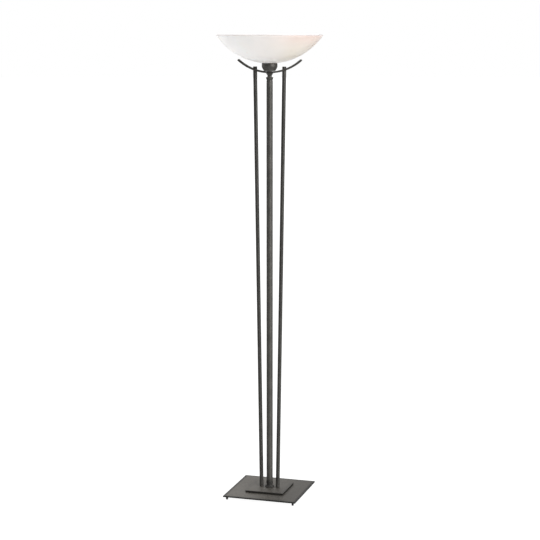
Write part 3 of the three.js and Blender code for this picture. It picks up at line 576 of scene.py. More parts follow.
def skin_material(
    name, colors, grain, mottle, roughness, spread=0.1, metallic=0.0, bump=(0.4, 0.15), wear=None,
):
    """A plain finish with grain, mottling, worn edges and its own gloss."""
    material, maker, shader = start_material(name)
    main, dark, light = colors
    skin = place_group(
        maker,
        ROUGH_SKIN,
        Color=(*main, 1),
        Dark_Color=(*dark, 1),
        Light_Color=(*light, 1),
        Grain_Size_mm=grain,
        Mottle_Size_mm=mottle,
        Roughness=roughness,
        Roughness_Spread=spread,
    )
    color = skin.outputs["Color"]
    if wear:
        amount, worn_color = wear
        rubbed = place_group(maker, EDGE_WEAR, Amount=amount, Breakup_Size_mm=3.0)
        color = maker.mix(rubbed.outputs["Mask"], color, (*worn_color, 1))
    maker.feed(shader.inputs["Base Color"], color)
    maker.feed(shader.inputs["Roughness"], skin.outputs["Roughness"])
    shader.inputs["Metallic"].default_value = metallic
    add_bump(maker, shader, skin.outputs["Height"], *bump)
    return material


def lamp_glass_material():
    """Inside-frosted white glass of the light bulb."""
    material, maker, shader = start_material("lamp_glass")
    place = maker.place()
    frost = maker.noise(place, 900.0, detail=2.0)
    cloud = maker.noise(place, 30.0)
    tint = maker.mix(cloud, (0.88, 0.88, 0.86, 1), (0.94, 0.93, 0.9, 1))
    maker.feed(shader.inputs["Base Color"], tint)
    maker.feed(shader.inputs["Roughness"], maker.span(frost, 0.3, 0.7, 0.22, 0.4))
    shader.inputs["Transmission Weight"].default_value = 0.25
    shader.inputs["IOR"].default_value = 1.5
    add_bump(maker, shader, frost, 0.1, 0.05)
    return material


FLOOR_GLOW = 0.97  # what the floor sends to the eye by itself
FLOOR_FILL = 0.06  # and to the lamp
FLOOR_SHADING = 0.12  # how much of the light on it the floor shows, and so how dark a shadow is
FLOOR_BOUNCE = 0.3  # and how much it sends back up to the lamp


def floor_material():
    """Plain white studio floor that glows, so that it keeps only a trace of the lamp's shadow.

    From underneath it is clear, so that the feet and the underside can be seen through it.
    """
    material, maker, shader = start_material("studio_floor")
    cloud = maker.noise(maker.place(), 1.5, detail=3.0)
    for_camera = maker.node("ShaderNodeLightPath").outputs["Is Camera Ray"]
    tone = maker.mix_value(for_camera, FLOOR_BOUNCE, FLOOR_SHADING)
    maker.feed(shader.inputs["Base Color"], maker.mix(cloud, tone, maker.math("MULTIPLY", tone, 1.03)))
    maker.feed(shader.inputs["Roughness"], maker.span(cloud, 0.0, 1.0, 0.8, 0.9))
    shader.inputs["Specular IOR Level"].default_value = 0.0
    shader.inputs["Emission Color"].default_value = (1, 1, 1, 1)
    maker.feed(shader.inputs["Emission Strength"], maker.mix_value(for_camera, FLOOR_FILL, FLOOR_GLOW))
    one_way = maker.node("ShaderNodeMixShader")
    maker.feed(one_way.inputs[0], maker.node("ShaderNodeNewGeometry").outputs["Backfacing"])
    maker.feed(one_way.inputs[1], shader.outputs[0])
    maker.feed(one_way.inputs[2], maker.node("ShaderNodeBsdfTransparent").outputs[0])
    surface = next(node for node in material.node_tree.nodes if node.type == "OUTPUT_MATERIAL")
    maker.feed(surface.inputs["Surface"], one_way.outputs[0])
    return material


IRON = iron_material("wrought_iron", tone=1.2)
IRON_BAR = iron_material("wrought_iron_bar", tone=0.75)
# Painted shade: the flange is a darker tone of the same iron, which damps its highlight; it is also rougher.
IRON_FLANGE_PAINTED_SHADE = iron_material("wrought_iron_flange", tone=0.5, wear=0.0, roughness=0.7)
# Painted light: the cup is a lighter tone of the same iron.
IRON_CUP_PAINTED_LIGHT = iron_material("wrought_iron_cup", tone=1.45)
PLATE_IRON = {node: plate_material(node, edge_shade_tone) for node, edge_shade_tone in EDGE_SHADE_TONE.items()}
OPAL = opal_material()
RUBBER = skin_material(
    "black_rubber",
    [(0.014, 0.014, 0.014), (0.007, 0.007, 0.007), (0.03, 0.03, 0.029)],
    grain=0.6, mottle=7.0, roughness=0.7, spread=0.12,
)
ZINC = skin_material(
    "zinc_plate",
    [(0.42, 0.42, 0.4), (0.22, 0.22, 0.21), (0.6, 0.6, 0.57)],
    grain=0.8, mottle=6.0, roughness=0.36, metallic=0.9, bump=(0.25, 0.08),
    wear=(0.5, (0.68, 0.68, 0.66)),
)
BRASS = skin_material(
    "brass",
    [(0.5, 0.36, 0.15), (0.22, 0.14, 0.06), (0.66, 0.5, 0.24)],
    grain=0.9, mottle=8.0, roughness=0.32, metallic=0.95, bump=(0.2, 0.06),
    wear=(0.4, (0.78, 0.62, 0.33)),
)
PHENOLIC = skin_material(
    "black_phenolic",
    [(0.014, 0.013, 0.012), (0.007, 0.006, 0.006), (0.03, 0.027, 0.025)],
    grain=0.7, mottle=12.0, roughness=0.34, spread=0.12, bump=(0.3, 0.05),
    wear=(0.5, (0.06, 0.055, 0.05)),
)
FIBRE = skin_material(
    "pressed_fibre",
    [(0.26, 0.15, 0.08), (0.14, 0.07, 0.035), (0.4, 0.26, 0.15)],
    grain=0.5, mottle=5.0, roughness=0.85, bump=(0.5, 0.1),
)
LAMP_METAL = skin_material(
    "rolled_aluminium",
    [(0.6, 0.6, 0.59), (0.38, 0.38, 0.37), (0.75, 0.75, 0.74)],
    grain=1.0, mottle=5.0, roughness=0.27, metallic=0.95, bump=(0.2, 0.05),
    wear=(0.4, (0.85, 0.85, 0.84)),
)
LAMP_INSULATOR = skin_material(
    "black_glass",
    [(0.02, 0.02, 0.024), (0.01, 0.01, 0.012), (0.035, 0.035, 0.04)],
    grain=0.8, mottle=4.0, roughness=0.15, bump=(0.15, 0.04),
)
LAMP_GLASS = lamp_glass_material()
DULL_WIRE = skin_material(
    "drawn_wire",
    [(0.12, 0.12, 0.115), (0.05, 0.05, 0.05), (0.25, 0.25, 0.24)],
    grain=0.3, mottle=3.0, roughness=0.45, metallic=0.9,
)
WIRE_SKIN = skin_material(
    "wire_insulation",
    [(0.022, 0.02, 0.018), (0.012, 0.011, 0.01), (0.04, 0.037, 0.033)],
    grain=0.5, mottle=10.0, roughness=0.5,
)

# ---------------------------------------------------------------- foot of the lamp

FOOT_TAPER = 0.0007
FOOT_ROUNDING = 0.0012
FOOT_SHOULDER = 0.75  # of the foot's height, where its taper starts
FOOT_SHOULDER_ROUNDING = 0.004
PLATE_EDGE = 0.0008
PLATE_CELLS = 60


def add_feet():
    for name in [f"foot_{end}_{side}" for end in ("front", "rear") for side in ("left", "right")]:
        (left, front, bottom), (right, rear, top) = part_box(name)
        radius = (rear - front) / 2
        outline = rounded(
            [
                (0, bottom, 0),
                (radius - FOOT_TAPER, bottom, FOOT_ROUNDING),
                (radius, bottom + (top - bottom) * FOOT_SHOULDER, FOOT_SHOULDER_ROUNDING),
                (radius, top, FOOT_ROUNDING / 2),
                (0, top, 0),
            ],
            closed=False,
        )
        mesh = turned_mesh(name + "_rubber", outline, sides=40, closed=False)
        mesh.transform(placed((left + right) / 2, (front + rear) / 2))
        new_piece(name + "_rubber", mesh, [name], RUBBER)


def placed(x, y):
    return Matrix.Translation((x, y, 0))


def plate_mesh(name, node):
    """Flat plate with softened edges and the slight unevenness of rolled iron."""
    (x0, y0, z0), (x1, y1, z1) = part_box(node)
    build = bmesh.new()
    bmesh.ops.create_cube(build, size=1)
    for vertex in build.verts:
        vertex.co.x = x1 if vertex.co.x > 0 else x0
        vertex.co.y = y1 if vertex.co.y > 0 else y0
        vertex.co.z = z1 if vertex.co.z > 0 else z0
    bmesh.ops.bevel(
        build, geom=build.edges[:], offset=PLATE_EDGE, segments=3, profile=0.5, affect="EDGES",
    )
    long_edges = [edge for edge in build.edges if edge.calc_length() > (x1 - x0) / 2]
    bmesh.ops.subdivide_edges(build, edges=long_edges, cuts=PLATE_CELLS, use_grid_fill=True)
    mesh = bpy.data.meshes.new(name)
    build.normal_update()
    build.to_mesh(mesh)
    build.free()
    return forged(mesh, node, ROLLED_PLATE)


def add_plates():
    for node, material in PLATE_IRON.items():
        new_piece(node + "_iron", plate_mesh(node + "_iron", node), [node], material)


HEX_SIDES = 72
HEX_TURNED_OFF = 0.97  # of the hexagon's inscribed radius, where its corners start to be turned off
HEX_CHAMFER = math.tan(math.radians(30))
WELD = 1e-7


def hex_outline(across_flats, angle):
    """Distance from the axis to a hexagon's side in one direction."""
    sixth = math.pi / 3
    return across_flats / 2 / math.cos((angle + sixth / 2) % sixth - sixth / 2)


def hex_mesh(name, x, across_flats, bottom, top, bore, chamfer_below, chamfer_above):
    """Hexagonal head or nut whose corners are turned off on the chosen faces."""
    sides = HEX_SIDES
    turned_off = across_flats / 2 * HEX_TURNED_OFF
    rows = []
    for face, is_chamfered, sign in ((bottom, chamfer_below, 1), (top, chamfer_above, -1)):
        flat, corner = [], []
        for side in range(sides):
            angle = 2 * math.pi * side / sides
            reach = hex_outline(across_flats, angle)
            inset = max(0, reach - turned_off) if is_chamfered else 0
            flat.append((reach - inset, angle, face))
            corner.append((reach, angle, face + sign * inset * HEX_CHAMFER))
        rows += [flat, corner] if sign > 0 else [corner, flat]
    bore_rows = []
    if bore:
        for height in (top, bottom):
            bore_rows.append([(bore, 2 * math.pi * side / sides, height) for side in range(sides)])
    corners, faces = [], []
    for row in rows + bore_rows:
        corners += [(x + r * math.cos(a), r * math.sin(a), z) for r, a, z in row]
    count = len(rows + bore_rows)
    span = count if bore else count - 1
    for row in range(span):
        for side in range(sides):
            after = (side + 1) % sides
            a, b = row * sides, (row + 1) % count * sides
            faces.append([a + side, a + after, b + after, b + side])
    if not bore:
        faces.append(list(range(sides)))
        faces.append(list(range((count - 1) * sides, count * sides)))
    mesh = mesh_from(name, corners, faces)
    build = bmesh.new()
    build.from_mesh(mesh)
    bmesh.ops.remove_doubles(build, verts=build.verts, dist=WELD)
    bmesh.ops.dissolve_degenerate(build, edges=build.edges, dist=WELD)
    build.to_mesh(mesh)
    build.free()
    return mesh


def add_hex(name, node, bore=0.0, chamfer_below=True, chamfer_above=True):
    """Nut or screw head in place of a CAD hexagon; keeps its flats and faces."""
    (x0, _, bottom), (x1, _, top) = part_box(node)
    mesh = hex_mesh(
        name, (x0 + x1) / 2, x1 - x0, bottom, top, bore, chamfer_below, chamfer_above,
    )
    return new_piece(name, mesh, [node], ZINC)


NUT_BORE = 0.0053
SCREW_HEAD_HEIGHT = 0.005
SCREW_SHANK_RADIUS = 0.00395
SHANK_INTO_HEAD = 0.0002
WASHER_ROUNDING = 0.0003
RING_STEPS = 3
ROD_WASHER_BORE = 0.00425
BUSHING_SLEEVE = 0.0032
BUSHING_WALL = 0.0004
BUSHING_FLANGE_HEIGHT = 0.0024


def add_washer(name, node, bore):
    (x0, y0, bottom), (x1, y1, top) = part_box(node)
    corners = ring_corners(bore, (y1 - y0) / 2, bottom, top, WASHER_ROUNDING)
    mesh = turned_mesh(name, rounded(corners, RING_STEPS))
    mesh.transform(placed((x0 + x1) / 2, 0))
    new_piece(name, mesh, [node], ZINC)


def add_foot_fixings():
    """What shows from below, apart from the cord inlet: nut, washers and screw heads."""
    add_hex("foot_hex_nut", "foot_nut", bore=NUT_BORE)
    add_washer("foot_plain_washer", "foot_washer", NUT_BORE)
    for side in ("left", "right"):
        add_rod_screw(side)
        add_washer(f"{side}_plain_washer", f"{side}_rod_washer", ROD_WASHER_BORE)


def add_cord_inlet():
    """Bushing in the lower end of the threaded pipe, with a rounded mouth for the cord."""
    flange, bottom, top = round_size("cord_inlet_bushing")
    sleeve = BUSHING_SLEEVE
    bore = sleeve - BUSHING_WALL
    flange_top = bottom + BUSHING_FLANGE_HEIGHT
    corners = [
        (bore, bottom, 0.0006),
        (flange, bottom, 0.0011),
        (flange, flange_top, 0.0004),
        (sleeve, flange_top, 0),
        (sleeve, top, 0.0002),
        (bore, top, 0.0002),
    ]
    turn_piece("cord_inlet_collar", "cord_inlet_bushing", "phenolic", PHENOLIC, corners, sides=64)


def add_rod_screw(side):
    """Hexagon screw with a round shank that reaches up into the rod."""
    (x0, _, bottom), (x1, _, top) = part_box(f"{side}_rod_screw")
    middle = (x0 + x1) / 2
    head_top = bottom + SCREW_HEAD_HEIGHT
    head = hex_mesh(f"{side}_screw", middle, x1 - x0, bottom, head_top, 0, True, False)
    shank_bottom = head_top - SHANK_INTO_HEAD
    outline = rounded(
        [
            (0, shank_bottom, 0),
            (SCREW_SHANK_RADIUS, shank_bottom, 0),
            (SCREW_SHANK_RADIUS, top, 0.0008),
            (0, top, 0),
        ],
        closed=False,
    )
    shank = turned_mesh("shank", outline, sides=32, closed=False)
    shank.transform(placed(middle, 0))
    build = bmesh.new()
    build.from_mesh(head)
    build.from_mesh(shank)
    build.to_mesh(head)
    build.free()
    bpy.data.meshes.remove(shank)
    new_piece(f"{side}_hex_screw", head, [f"{side}_rod_screw"], ZINC)


# ---------------------------------------------------------------- pole and its turned ends

BORE = 0.0053
POLE_WALL = 0.002
SPIGOT = 0.0104
SPIGOT_LENGTH = 0.015
GROOVE = 0.012
FOOT_EDGE_HEIGHT = 0.0032
FOOT_FLARE_HEIGHT = 0.0078
FOOT_GROOVE_HEIGHT = 0.002
FOOT_BEAD_RADIUS = 0.0133
FOOT_BEAD_HEIGHT = 0.012
COLLAR_GROOVE_HEIGHT = 0.0026
COLLAR_LIP = 0.0026
COLLAR_LIP_RISE = 0.0097
COLLAR_HEIGHT = 0.0165
NECK_RADIUS = 0.0085
NECK_STRAIGHT = 0.0019
NECK_FLARE_POWER = 1.3
NECK_FLARE_STEPS = 12
POLE_RINGS = 90


def hollow_curve(wide, slim, wide_height, slim_height, steps=12):
    """Quarter curve that leaves a wide edge flat and ends upright at a slim one."""
    points = []
    for step in range(1, steps):
        angle = math.pi / 2 * step / steps
        radius = wide + (slim - wide) * math.sin(angle)
        points.append((radius, slim_height + (wide_height - slim_height) * math.cos(angle), 0))
    return points


def add_flange():
    edge, bottom, _ = round_size("pole_flange")
    shoulder = low("pole_tube").z - FIT_GAP
    edge_top = bottom + FOOT_EDGE_HEIGHT
    flare_top = edge_top + FOOT_FLARE_HEIGHT
    bead_bottom = flare_top + FOOT_GROOVE_HEIGHT
    bead_top = bead_bottom + FOOT_BEAD_HEIGHT
    corners = [
        (BORE, bottom, 0),
        (edge, bottom, 0.0006),
        (edge, edge_top, 0.0009),
        *hollow_curve(edge, GROOVE, edge_top, flare_top),
        (GROOVE, flare_top, 0),
        (GROOVE, bead_bottom, 0.0004),
        (FOOT_BEAD_RADIUS, bead_bottom, 0.0012),
        (FOOT_BEAD_RADIUS, bead_top, 0.0012),
        (GROOVE, bead_top, 0.0004),
        (GROOVE, shoulder, 0),
        (SPIGOT, shoulder, 0),
        (SPIGOT, shoulder + SPIGOT_LENGTH, 0.0005),
        (BORE, shoulder + SPIGOT_LENGTH, 0),
    ]
    turn_piece("pole_flange_iron", "pole_flange", "iron", IRON_FLANGE_PAINTED_SHADE, corners, working=TURNED_END)


def add_pole_tube():
    radius = radius_of("pole_tube")
    bottom, top = low("pole_tube").z, high("pole_tube").z
    side = [(radius, bottom + (top - bottom) * ring / POLE_RINGS, 0) for ring in range(1, POLE_RINGS)]
    corners = [
        (radius - POLE_WALL, bottom, 0),
        (radius, bottom, 0.0006),
        *side,
        (radius, top, 0.0006),
        (radius - POLE_WALL, top, 0),
    ]
    turn_piece("pole_iron", "pole_tube", "iron", IRON, corners, working=DRAWN_BAR, sides=72)


def add_collar():
    lip, spigot_bottom, collar_top = round_size("pole_collar")
    collar_bottom = collar_top - COLLAR_HEIGHT
    lip_bottom = collar_bottom + COLLAR_LIP_RISE
    lip_top = lip_bottom + COLLAR_LIP
    groove_top = collar_bottom + COLLAR_GROOVE_HEIGHT
    corners = [
        (BORE, spigot_bottom, 0),
        (SPIGOT, spigot_bottom, 0.0005),
        (SPIGOT, collar_bottom, 0),
        (GROOVE, collar_bottom, 0),
        (GROOVE, groove_top, 0.0006),
        (lip, lip_bottom, 0.0008),
        (lip, lip_top, 0.0004),
        *hollow_curve(lip, NECK_RADIUS, lip_top, collar_top),
        (NECK_RADIUS, collar_top, 0),
        (BORE, collar_top, 0),
    ]
    turn_piece("pole_collar_iron", "pole_collar", "iron", IRON, corners, working=TURNED_END)


def add_neck():
    mouth, bottom, top = round_size("neck_cone")
    flare_bottom = bottom + NECK_STRAIGHT
    flare = []
    for step in range(1, NECK_FLARE_STEPS):
        along = step / NECK_FLARE_STEPS
        width = NECK_RADIUS + (mouth - NECK_RADIUS) * along**NECK_FLARE_POWER
        flare.append((width, flare_bottom + (top - flare_bottom) * along, 0))
    corners = [
        (BORE, bottom, 0),
        (NECK_RADIUS, bottom, 0),
        (NECK_RADIUS, flare_bottom, 0),
        *flare,
        (mouth, top, 0.0005),
        (BORE, top, 0),
    ]
    turn_piece("neck_cone_iron", "neck_cone", "iron", IRON, corners, working=TURNED_END)


# ---------------------------------------------------------------- rods and crescent bar

BAR_THICKNESS = 0.007
BAR_RADIUS = 0.1971  # centre line of the bar
ROD_SIDES = 56
ROD_RINGS = 90
ROD_LAST_RING = 0.992  # of the rod's length; above it the end follows the bar
CAP_CHAMFER = 0.0009
CAP_CHAMFER_STEPS = 3
CAP_STRAIGHT = 0.003
CAP_CROWN = 0.0003
BAR_EDGE = 0.0009
BAR_EDGE_STEPS = 3
BAR_STEPS = 72


def bar_centre():
    return low("crescent_bar").z + BAR_RADIUS + BAR_THICKNESS / 2


def rod_line(side):
    """Lowest and highest middle of a rod, from its box: the highest corner is on its outer side."""
    (x0, y0, z0), (x1, y1, z1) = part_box(f"{side}_rod")
    radius = (y1 - y0) / 2
    sign = 1 if side == "right" else -1
    inner, outer = (x0, x1) if sign > 0 else (-x1, -x0)
    return Vector((sign * (inner + radius), 0, z0)), Vector((sign * (outer - radius), 0, z1)), radius


def on_bar(point, direction, radius, middle):
    """Where a line through point meets the round of given radius about the bar's centre, below it."""
    x, z = point.x, point.z - middle
    along = direction.x * x + direction.z * z
    reach = math.sqrt(along**2 - (x**2 + z**2 - radius**2))
    return point + direction * (-along - reach)


def capped_bar_mesh(name, rings):
    """Closed bar from rings of corners, with flat ends."""
    sides = len(rings[0])
    corners = [corner for ring in rings for corner in ring]
    faces = [list(range(sides)), list(range(len(corners) - sides, len(corners)))]
    for row in range(len(rings) - 1):
        for side in range(sides):
            after = (side + 1) % sides
            a, b = row * sides, (row + 1) * sides
            faces.append([a + side, a + after, b + after, b + side])
    return mesh_from(name, corners, faces)


def round_about(middle, direction, radius):
    """Ring of corners about a leaning line, the first one towards +X."""
    across = Vector((0, 1, 0))
    sideways = across.cross(direction).normalized()
    ring = []
    for side in range(ROD_SIDES):
        angle = 2 * math.pi * side / ROD_SIDES
        ring.append(middle + sideways * radius * math.cos(angle) + across * radius * math.sin(angle))
    return ring


def end_steps(radius):
    """How far a rod's chamfered end is drawn in, and how far it stands back, at the edge and inside it."""
    chamfer = CAP_CHAMFER / 2
    return [(radius - inset, chamfer - inset) for inset in (chamfer, 0)]


def add_rod(side):
    """Leaning rod: its foot is flat on the step plate, and its head follows the round of the bar."""
    foot, head, radius = rod_line(side)
    direction = (head - foot).normalized()
    middle = bar_centre()
    under_bar = BAR_RADIUS + BAR_THICKNESS / 2 + FIT_GAP
    rings = []
    for reach, lift in end_steps(radius):
        ring = round_about(foot, direction, reach)
        rings.append([p + direction * ((foot.z + lift - p.z) / direction.z) for p in ring])
    for step in range(1, ROD_RINGS):
        rings.append(round_about(foot.lerp(head, step / ROD_RINGS * ROD_LAST_RING), direction, radius))
    for reach, lower in reversed(end_steps(radius)):
        ring = round_about(foot, direction, reach)
        rings.append([on_bar(p, direction, under_bar + lower, middle) for p in ring])
    mesh = forged(capped_bar_mesh(f"{side}_rod_iron", rings), f"{side}_rod", DRAWN_BAR)
    new_piece(f"{side}_rod_iron", mesh, [f"{side}_rod"], IRON_BAR)


def add_rod_cap(side):
    """Short end of the rod above the bar, chamfered round its top."""
    foot, head, radius = rod_line(side)
    direction = (head - foot).normalized()
    middle = bar_centre()
    over_bar = BAR_RADIUS - BAR_THICKNESS / 2 - FIT_GAP
    crown = foot + direction * ((high(f"{side}_rod_cap").z - foot.z) / direction.z)
    rings = []
    for reach, lift in end_steps(radius):
        ring = round_about(foot, direction, reach)
        rings.append([on_bar(p, direction, over_bar - lift, middle) for p in ring])
    rings.append(round_about(crown - direction * CAP_STRAIGHT, direction, radius))
    for step in range(CAP_CHAMFER_STEPS + 1):
        angle = math.pi / 2 * step / CAP_CHAMFER_STEPS
        drop = CAP_CHAMFER * (1 - math.sin(angle))
        inset = CAP_CHAMFER * (1 - math.cos(angle))
        rings.append(round_about(crown - direction * drop, direction, radius - inset))
    rings.append(round_about(crown + direction * CAP_CROWN, direction, radius / 2))
    mesh = forged(capped_bar_mesh(f"{side}_cap_iron", rings), f"{side}_rod_cap", TURNED_END)
    new_piece(f"{side}_cap_iron", mesh, [f"{side}_rod_cap"], IRON_BAR)


def add_rods():
    for side in ("left", "right"):
        add_rod(side)
        add_rod_cap(side)


def bar_section(half_width, half_thickness, edge):
    """Rounded rectangle: (across, outward) corners of the bar's section."""
    section = []
    for quarter, (right, out) in enumerate(((1, 1), (-1, 1), (-1, -1), (1, -1))):
        corner = Vector((right * (half_width - edge), out * (half_thickness - edge)))
        for step in range(BAR_EDGE_STEPS + 1):
            angle = math.pi / 2 * (quarter + step / BAR_EDGE_STEPS)
            section.append(corner + Vector((math.cos(angle), math.sin(angle))) * edge)
    return section


def add_crescent_bar():
    middle = bar_centre()
    reach, half_width, _ = high("crescent_bar")
    half_angle = math.asin(reach / (BAR_RADIUS + BAR_THICKNESS / 2))
    end_angle = BAR_EDGE / BAR_RADIUS
    stations = [(-half_angle, BAR_EDGE), (-half_angle + end_angle / 3, BAR_EDGE / 3)]
    stations += [
        ((half_angle - end_angle) * (2 * step / BAR_STEPS - 1), 0) for step in range(BAR_STEPS + 1)
    ]
    stations += [(-angle, inset) for angle, inset in reversed(stations[:2])]
    rings = []
    for angle, inset in stations:
        outward = Vector((math.sin(angle), 0, -math.cos(angle)))
        ring = []
        for across, out in bar_section(half_width - inset, BAR_THICKNESS / 2 - inset, BAR_EDGE):
            ring.append(Vector((0, across, middle)) + outward * (BAR_RADIUS + out))
        rings.append(ring)
    mesh = forged(capped_bar_mesh("crescent_bar_iron", rings), "crescent_bar", BENT_BAR)
    new_piece("crescent_bar_iron", mesh, ["crescent_bar"], IRON)


# ---------------------------------------------------------------- cup and glass

CUP_FOOT = 0.022
CUP_RIM = 0.0308
CUP_BELLY_HEIGHT = 0.0173
CUP_WALL = 0.002
CUP_FLOOR = 0.0025
CUP_SWELL = 0.004
CUP_STEPS = 14
CUP_INSIDE_FILLET = 0.002
GASKET_WIDTH = 0.004
BOWL_BALL = 0.2569
BOWL_WALL = 0.0045
BOWL_HOLE = 0.02125
BOWL_HOLE_ROUNDING = 0.0012
BOWL_STEPS = 40
LIP_STEPS = 8


def add_cup():
    belly, bottom, top = round_size("cup")
    belly_height = bottom + CUP_BELLY_HEIGHT
    outside, inside = [], []
    for step in range(1, CUP_STEPS):
        along = step / CUP_STEPS
        width = CUP_FOOT + (belly - CUP_FOOT) * along + CUP_SWELL * along * (1 - along)
        height = bottom + CUP_BELLY_HEIGHT * along
        outside.append((width, height, 0))
        if height > bottom + CUP_FLOOR + CUP_INSIDE_FILLET:
            inside.append((width - CUP_WALL, height, 0))
    corners = [
        (BORE, bottom, 0),
        (CUP_FOOT, bottom, 0.0008),
        *outside,
        (belly, belly_height, 0.0016),
        (CUP_RIM, top, 0.0007),
        (CUP_RIM - CUP_WALL, top, 0.0005),
        (belly - CUP_WALL, belly_height, 0),
        *reversed(inside),
        (CUP_FOOT - CUP_WALL, bottom + CUP_FLOOR, 0.001),
        (BORE, bottom + CUP_FLOOR, 0),
    ]
    # painted light: the cup's iron is a lighter tone of the pole's
    turn_piece("cup_iron", "cup", "iron", IRON_CUP_PAINTED_LIGHT, corners, working=TURNED_CUP, sides=120)


def add_gasket():
    radius, bottom, top = round_size("bowl_gasket")
    corners = ring_corners(radius - GASKET_WIDTH, radius, bottom, top, 0.0004)
    turn_piece("bowl_seal", "bowl_gasket", "rubber", RUBBER, corners, steps=RING_STEPS)


def ball_points(radius, centre, from_radius, to_radius):
    """Outline points up the lower half of a ball, between two distances from the axis."""
    first, last = math.asin(from_radius / radius), math.asin(to_radius / radius)
    points = []
    for step in range(BOWL_STEPS + 1):
        angle = first + (last - first) * step / BOWL_STEPS
        points.append((radius * math.sin(angle), centre - radius * math.cos(angle), 0))
    return points


def add_bowl():
    rim, bottom, top = round_size("glass_bowl")
    centre = bottom + math.sqrt(BOWL_BALL**2 - BOWL_HOLE**2)
    outside = ball_points(BOWL_BALL, centre, BOWL_HOLE, rim)
    inside = ball_points(BOWL_BALL - BOWL_WALL, centre, BOWL_HOLE, rim - BOWL_WALL)
    lip_foot = max(outside[-1][1], inside[-1][1])
    lip = []
    for step in range(1, LIP_STEPS):
        angle = math.pi * step / LIP_STEPS
        radius = rim - BOWL_WALL / 2 + BOWL_WALL / 2 * math.cos(angle)
        lip.append((radius, lip_foot + (top - lip_foot) * math.sin(angle), 0))
    hole = [(r, z, BOWL_HOLE_ROUNDING) for r, z, _ in (inside[0], outside[0])]
    corners = [hole[1], *outside[1:], *lip, *reversed(inside[1:]), hole[0]]
    turn_piece("opal_bowl", "glass_bowl", "opal_glass", OPAL, corners, working=SLUMPED_GLASS, sides=160)


# ---------------------------------------------------------------- lampholder and ring

HOLDER_WALL = 0.0022
HOLDER_BASE_FLOOR = 0.002
HOLDER_FLOOR = 0.0035
HOLDER_BORE = 0.0148
HOLDER_INSET = 0.0004  # plain foot of the body, inside the crest of its thread
HOLDER_PLAIN_FOOT = 0.003
HOLDER_LEAD = 0.0015  # thread's end to the body's top
HOLDER_PITCH = 0.00254
HOLDER_THREAD = 0.0008
HOLDER_ROWS = 88
RING_BORE = 0.0201
RING_STEP = 0.0235
RING_STEP_DROP = 0.0008
RING_NOTCHES = 20
RING_NOTCH_DEPTH = 0.0009
RING_NOTCH_REACH = 0.0022  # how far in from its edge the ring is notched
RING_NOTCH_SHARPNESS = 12
SIDES_FOR_A_NOTCH = 14
LAMP_PITCH = 0.003629
SAME_PLACE = 1e-6


def thread_wave(height, angle, bottom, top, pitch):
    """0 in the root and 1 on the crest of a right-hand thread that fades at both ends."""
    fade = max(0, min(1, (height - bottom) / pitch, (top - height) / pitch))
    return fade * (0.5 + 0.5 * math.cos(2 * math.pi * height / pitch - angle))


def thread_rows(root, bottom, top, rows):
    return [(root, bottom + (top - bottom) * row / rows, 0) for row in range(rows + 1)]


def add_holder_cover():
    radius, bottom, top = round_size("holder_base")
    floor = bottom + HOLDER_BASE_FLOOR
    corners = [
        (BORE, bottom, 0),
        (radius, bottom, 0.0022),
        (radius, top, 0.0004),
        (radius - HOLDER_WALL, top, 0),
        (radius - HOLDER_WALL, floor, 0.001),
        (BORE, floor, 0),
    ]
    turn_piece("holder_cover", "holder_base", "phenolic", PHENOLIC, corners)


def add_holder_skirt():
    """Threaded body that the retaining ring runs on."""
    radius, bottom, top = round_size("holder_body")
    thread_bottom, thread_top = bottom + HOLDER_PLAIN_FOOT, top - HOLDER_LEAD
    root = radius - HOLDER_THREAD
    foot = radius - HOLDER_INSET
    corners = [
        (0.0, bottom, 0),
        (foot, bottom, 0.0006),
        (foot, thread_bottom - 0.0006, 0.0004),
        *thread_rows(root, thread_bottom, thread_top, HOLDER_ROWS),
        (root, top, 0.0008),
        (HOLDER_BORE, top, 0.0008),
        (HOLDER_BORE, bottom + HOLDER_FLOOR, 0),
        (0.0, bottom + HOLDER_FLOOR, 0),
    ]

    def threaded(reach, height, angle):
        if abs(reach - root) > SAME_PLACE or not thread_bottom < height < thread_top:
            return reach
        return reach + HOLDER_THREAD * thread_wave(height, angle, thread_bottom, thread_top, HOLDER_PITCH)

    turn_piece(
        "holder_skirt", "holder_body", "phenolic", PHENOLIC, corners, closed=False, sides=112, shape=threaded,
    )


def add_slip_washer():
    radius, bottom, top = round_size("ring_slip_washer")
    corners = ring_corners(RING_BORE, radius, bottom, top, WASHER_ROUNDING)
    turn_piece("slip_washer", "ring_slip_washer", "fibre", FIBRE, corners, steps=RING_STEPS, sides=120)


def add_ring():
    """Retaining ring with finger notches round its edge and a step on top."""
    radius, bottom, top = round_size("retaining_ring")
    corners = [
        (RING_BORE, bottom, 0.0004),
        (radius, bottom, 0.0008),
        (radius, top - 0.0014, 0.0012),
        (RING_STEP, top - RING_STEP_DROP, 0.0008),
        (RING_STEP - 0.0005, top, 0.0005),
        (RING_BORE, top, 0.0006),
    ]

    def notched(reach, height, angle):
        if reach < radius - RING_NOTCH_REACH:
            return reach
        return reach - RING_NOTCH_DEPTH * math.cos(RING_NOTCHES * angle / 2) ** RING_NOTCH_SHARPNESS

    turn_piece(
        "notched_ring", "retaining_ring", "phenolic", PHENOLIC, corners,
        steps=5, sides=RING_NOTCHES * SIDES_FOR_A_NOTCH, shape=notched,
    )


# ---------------------------------------------------------------- light bulb

LAMP_ROOT = 0.0122
LAMP_THREAD = 0.0008
LAMP_THREAD_ROWS = 56
LAMP_BASE_COLLAR = 0.0036
LAMP_BASE_WALL = 0.0011
INSULATOR_RADIUS = 0.0095
INSULATOR_LIP = 0.001
LAMP_NECK = 0.0142
LAMP_GLASS_WALL = 0.0008
LAMP_SHOULDER_STEPS = 18
LAMP_CROWN_STEPS = 16


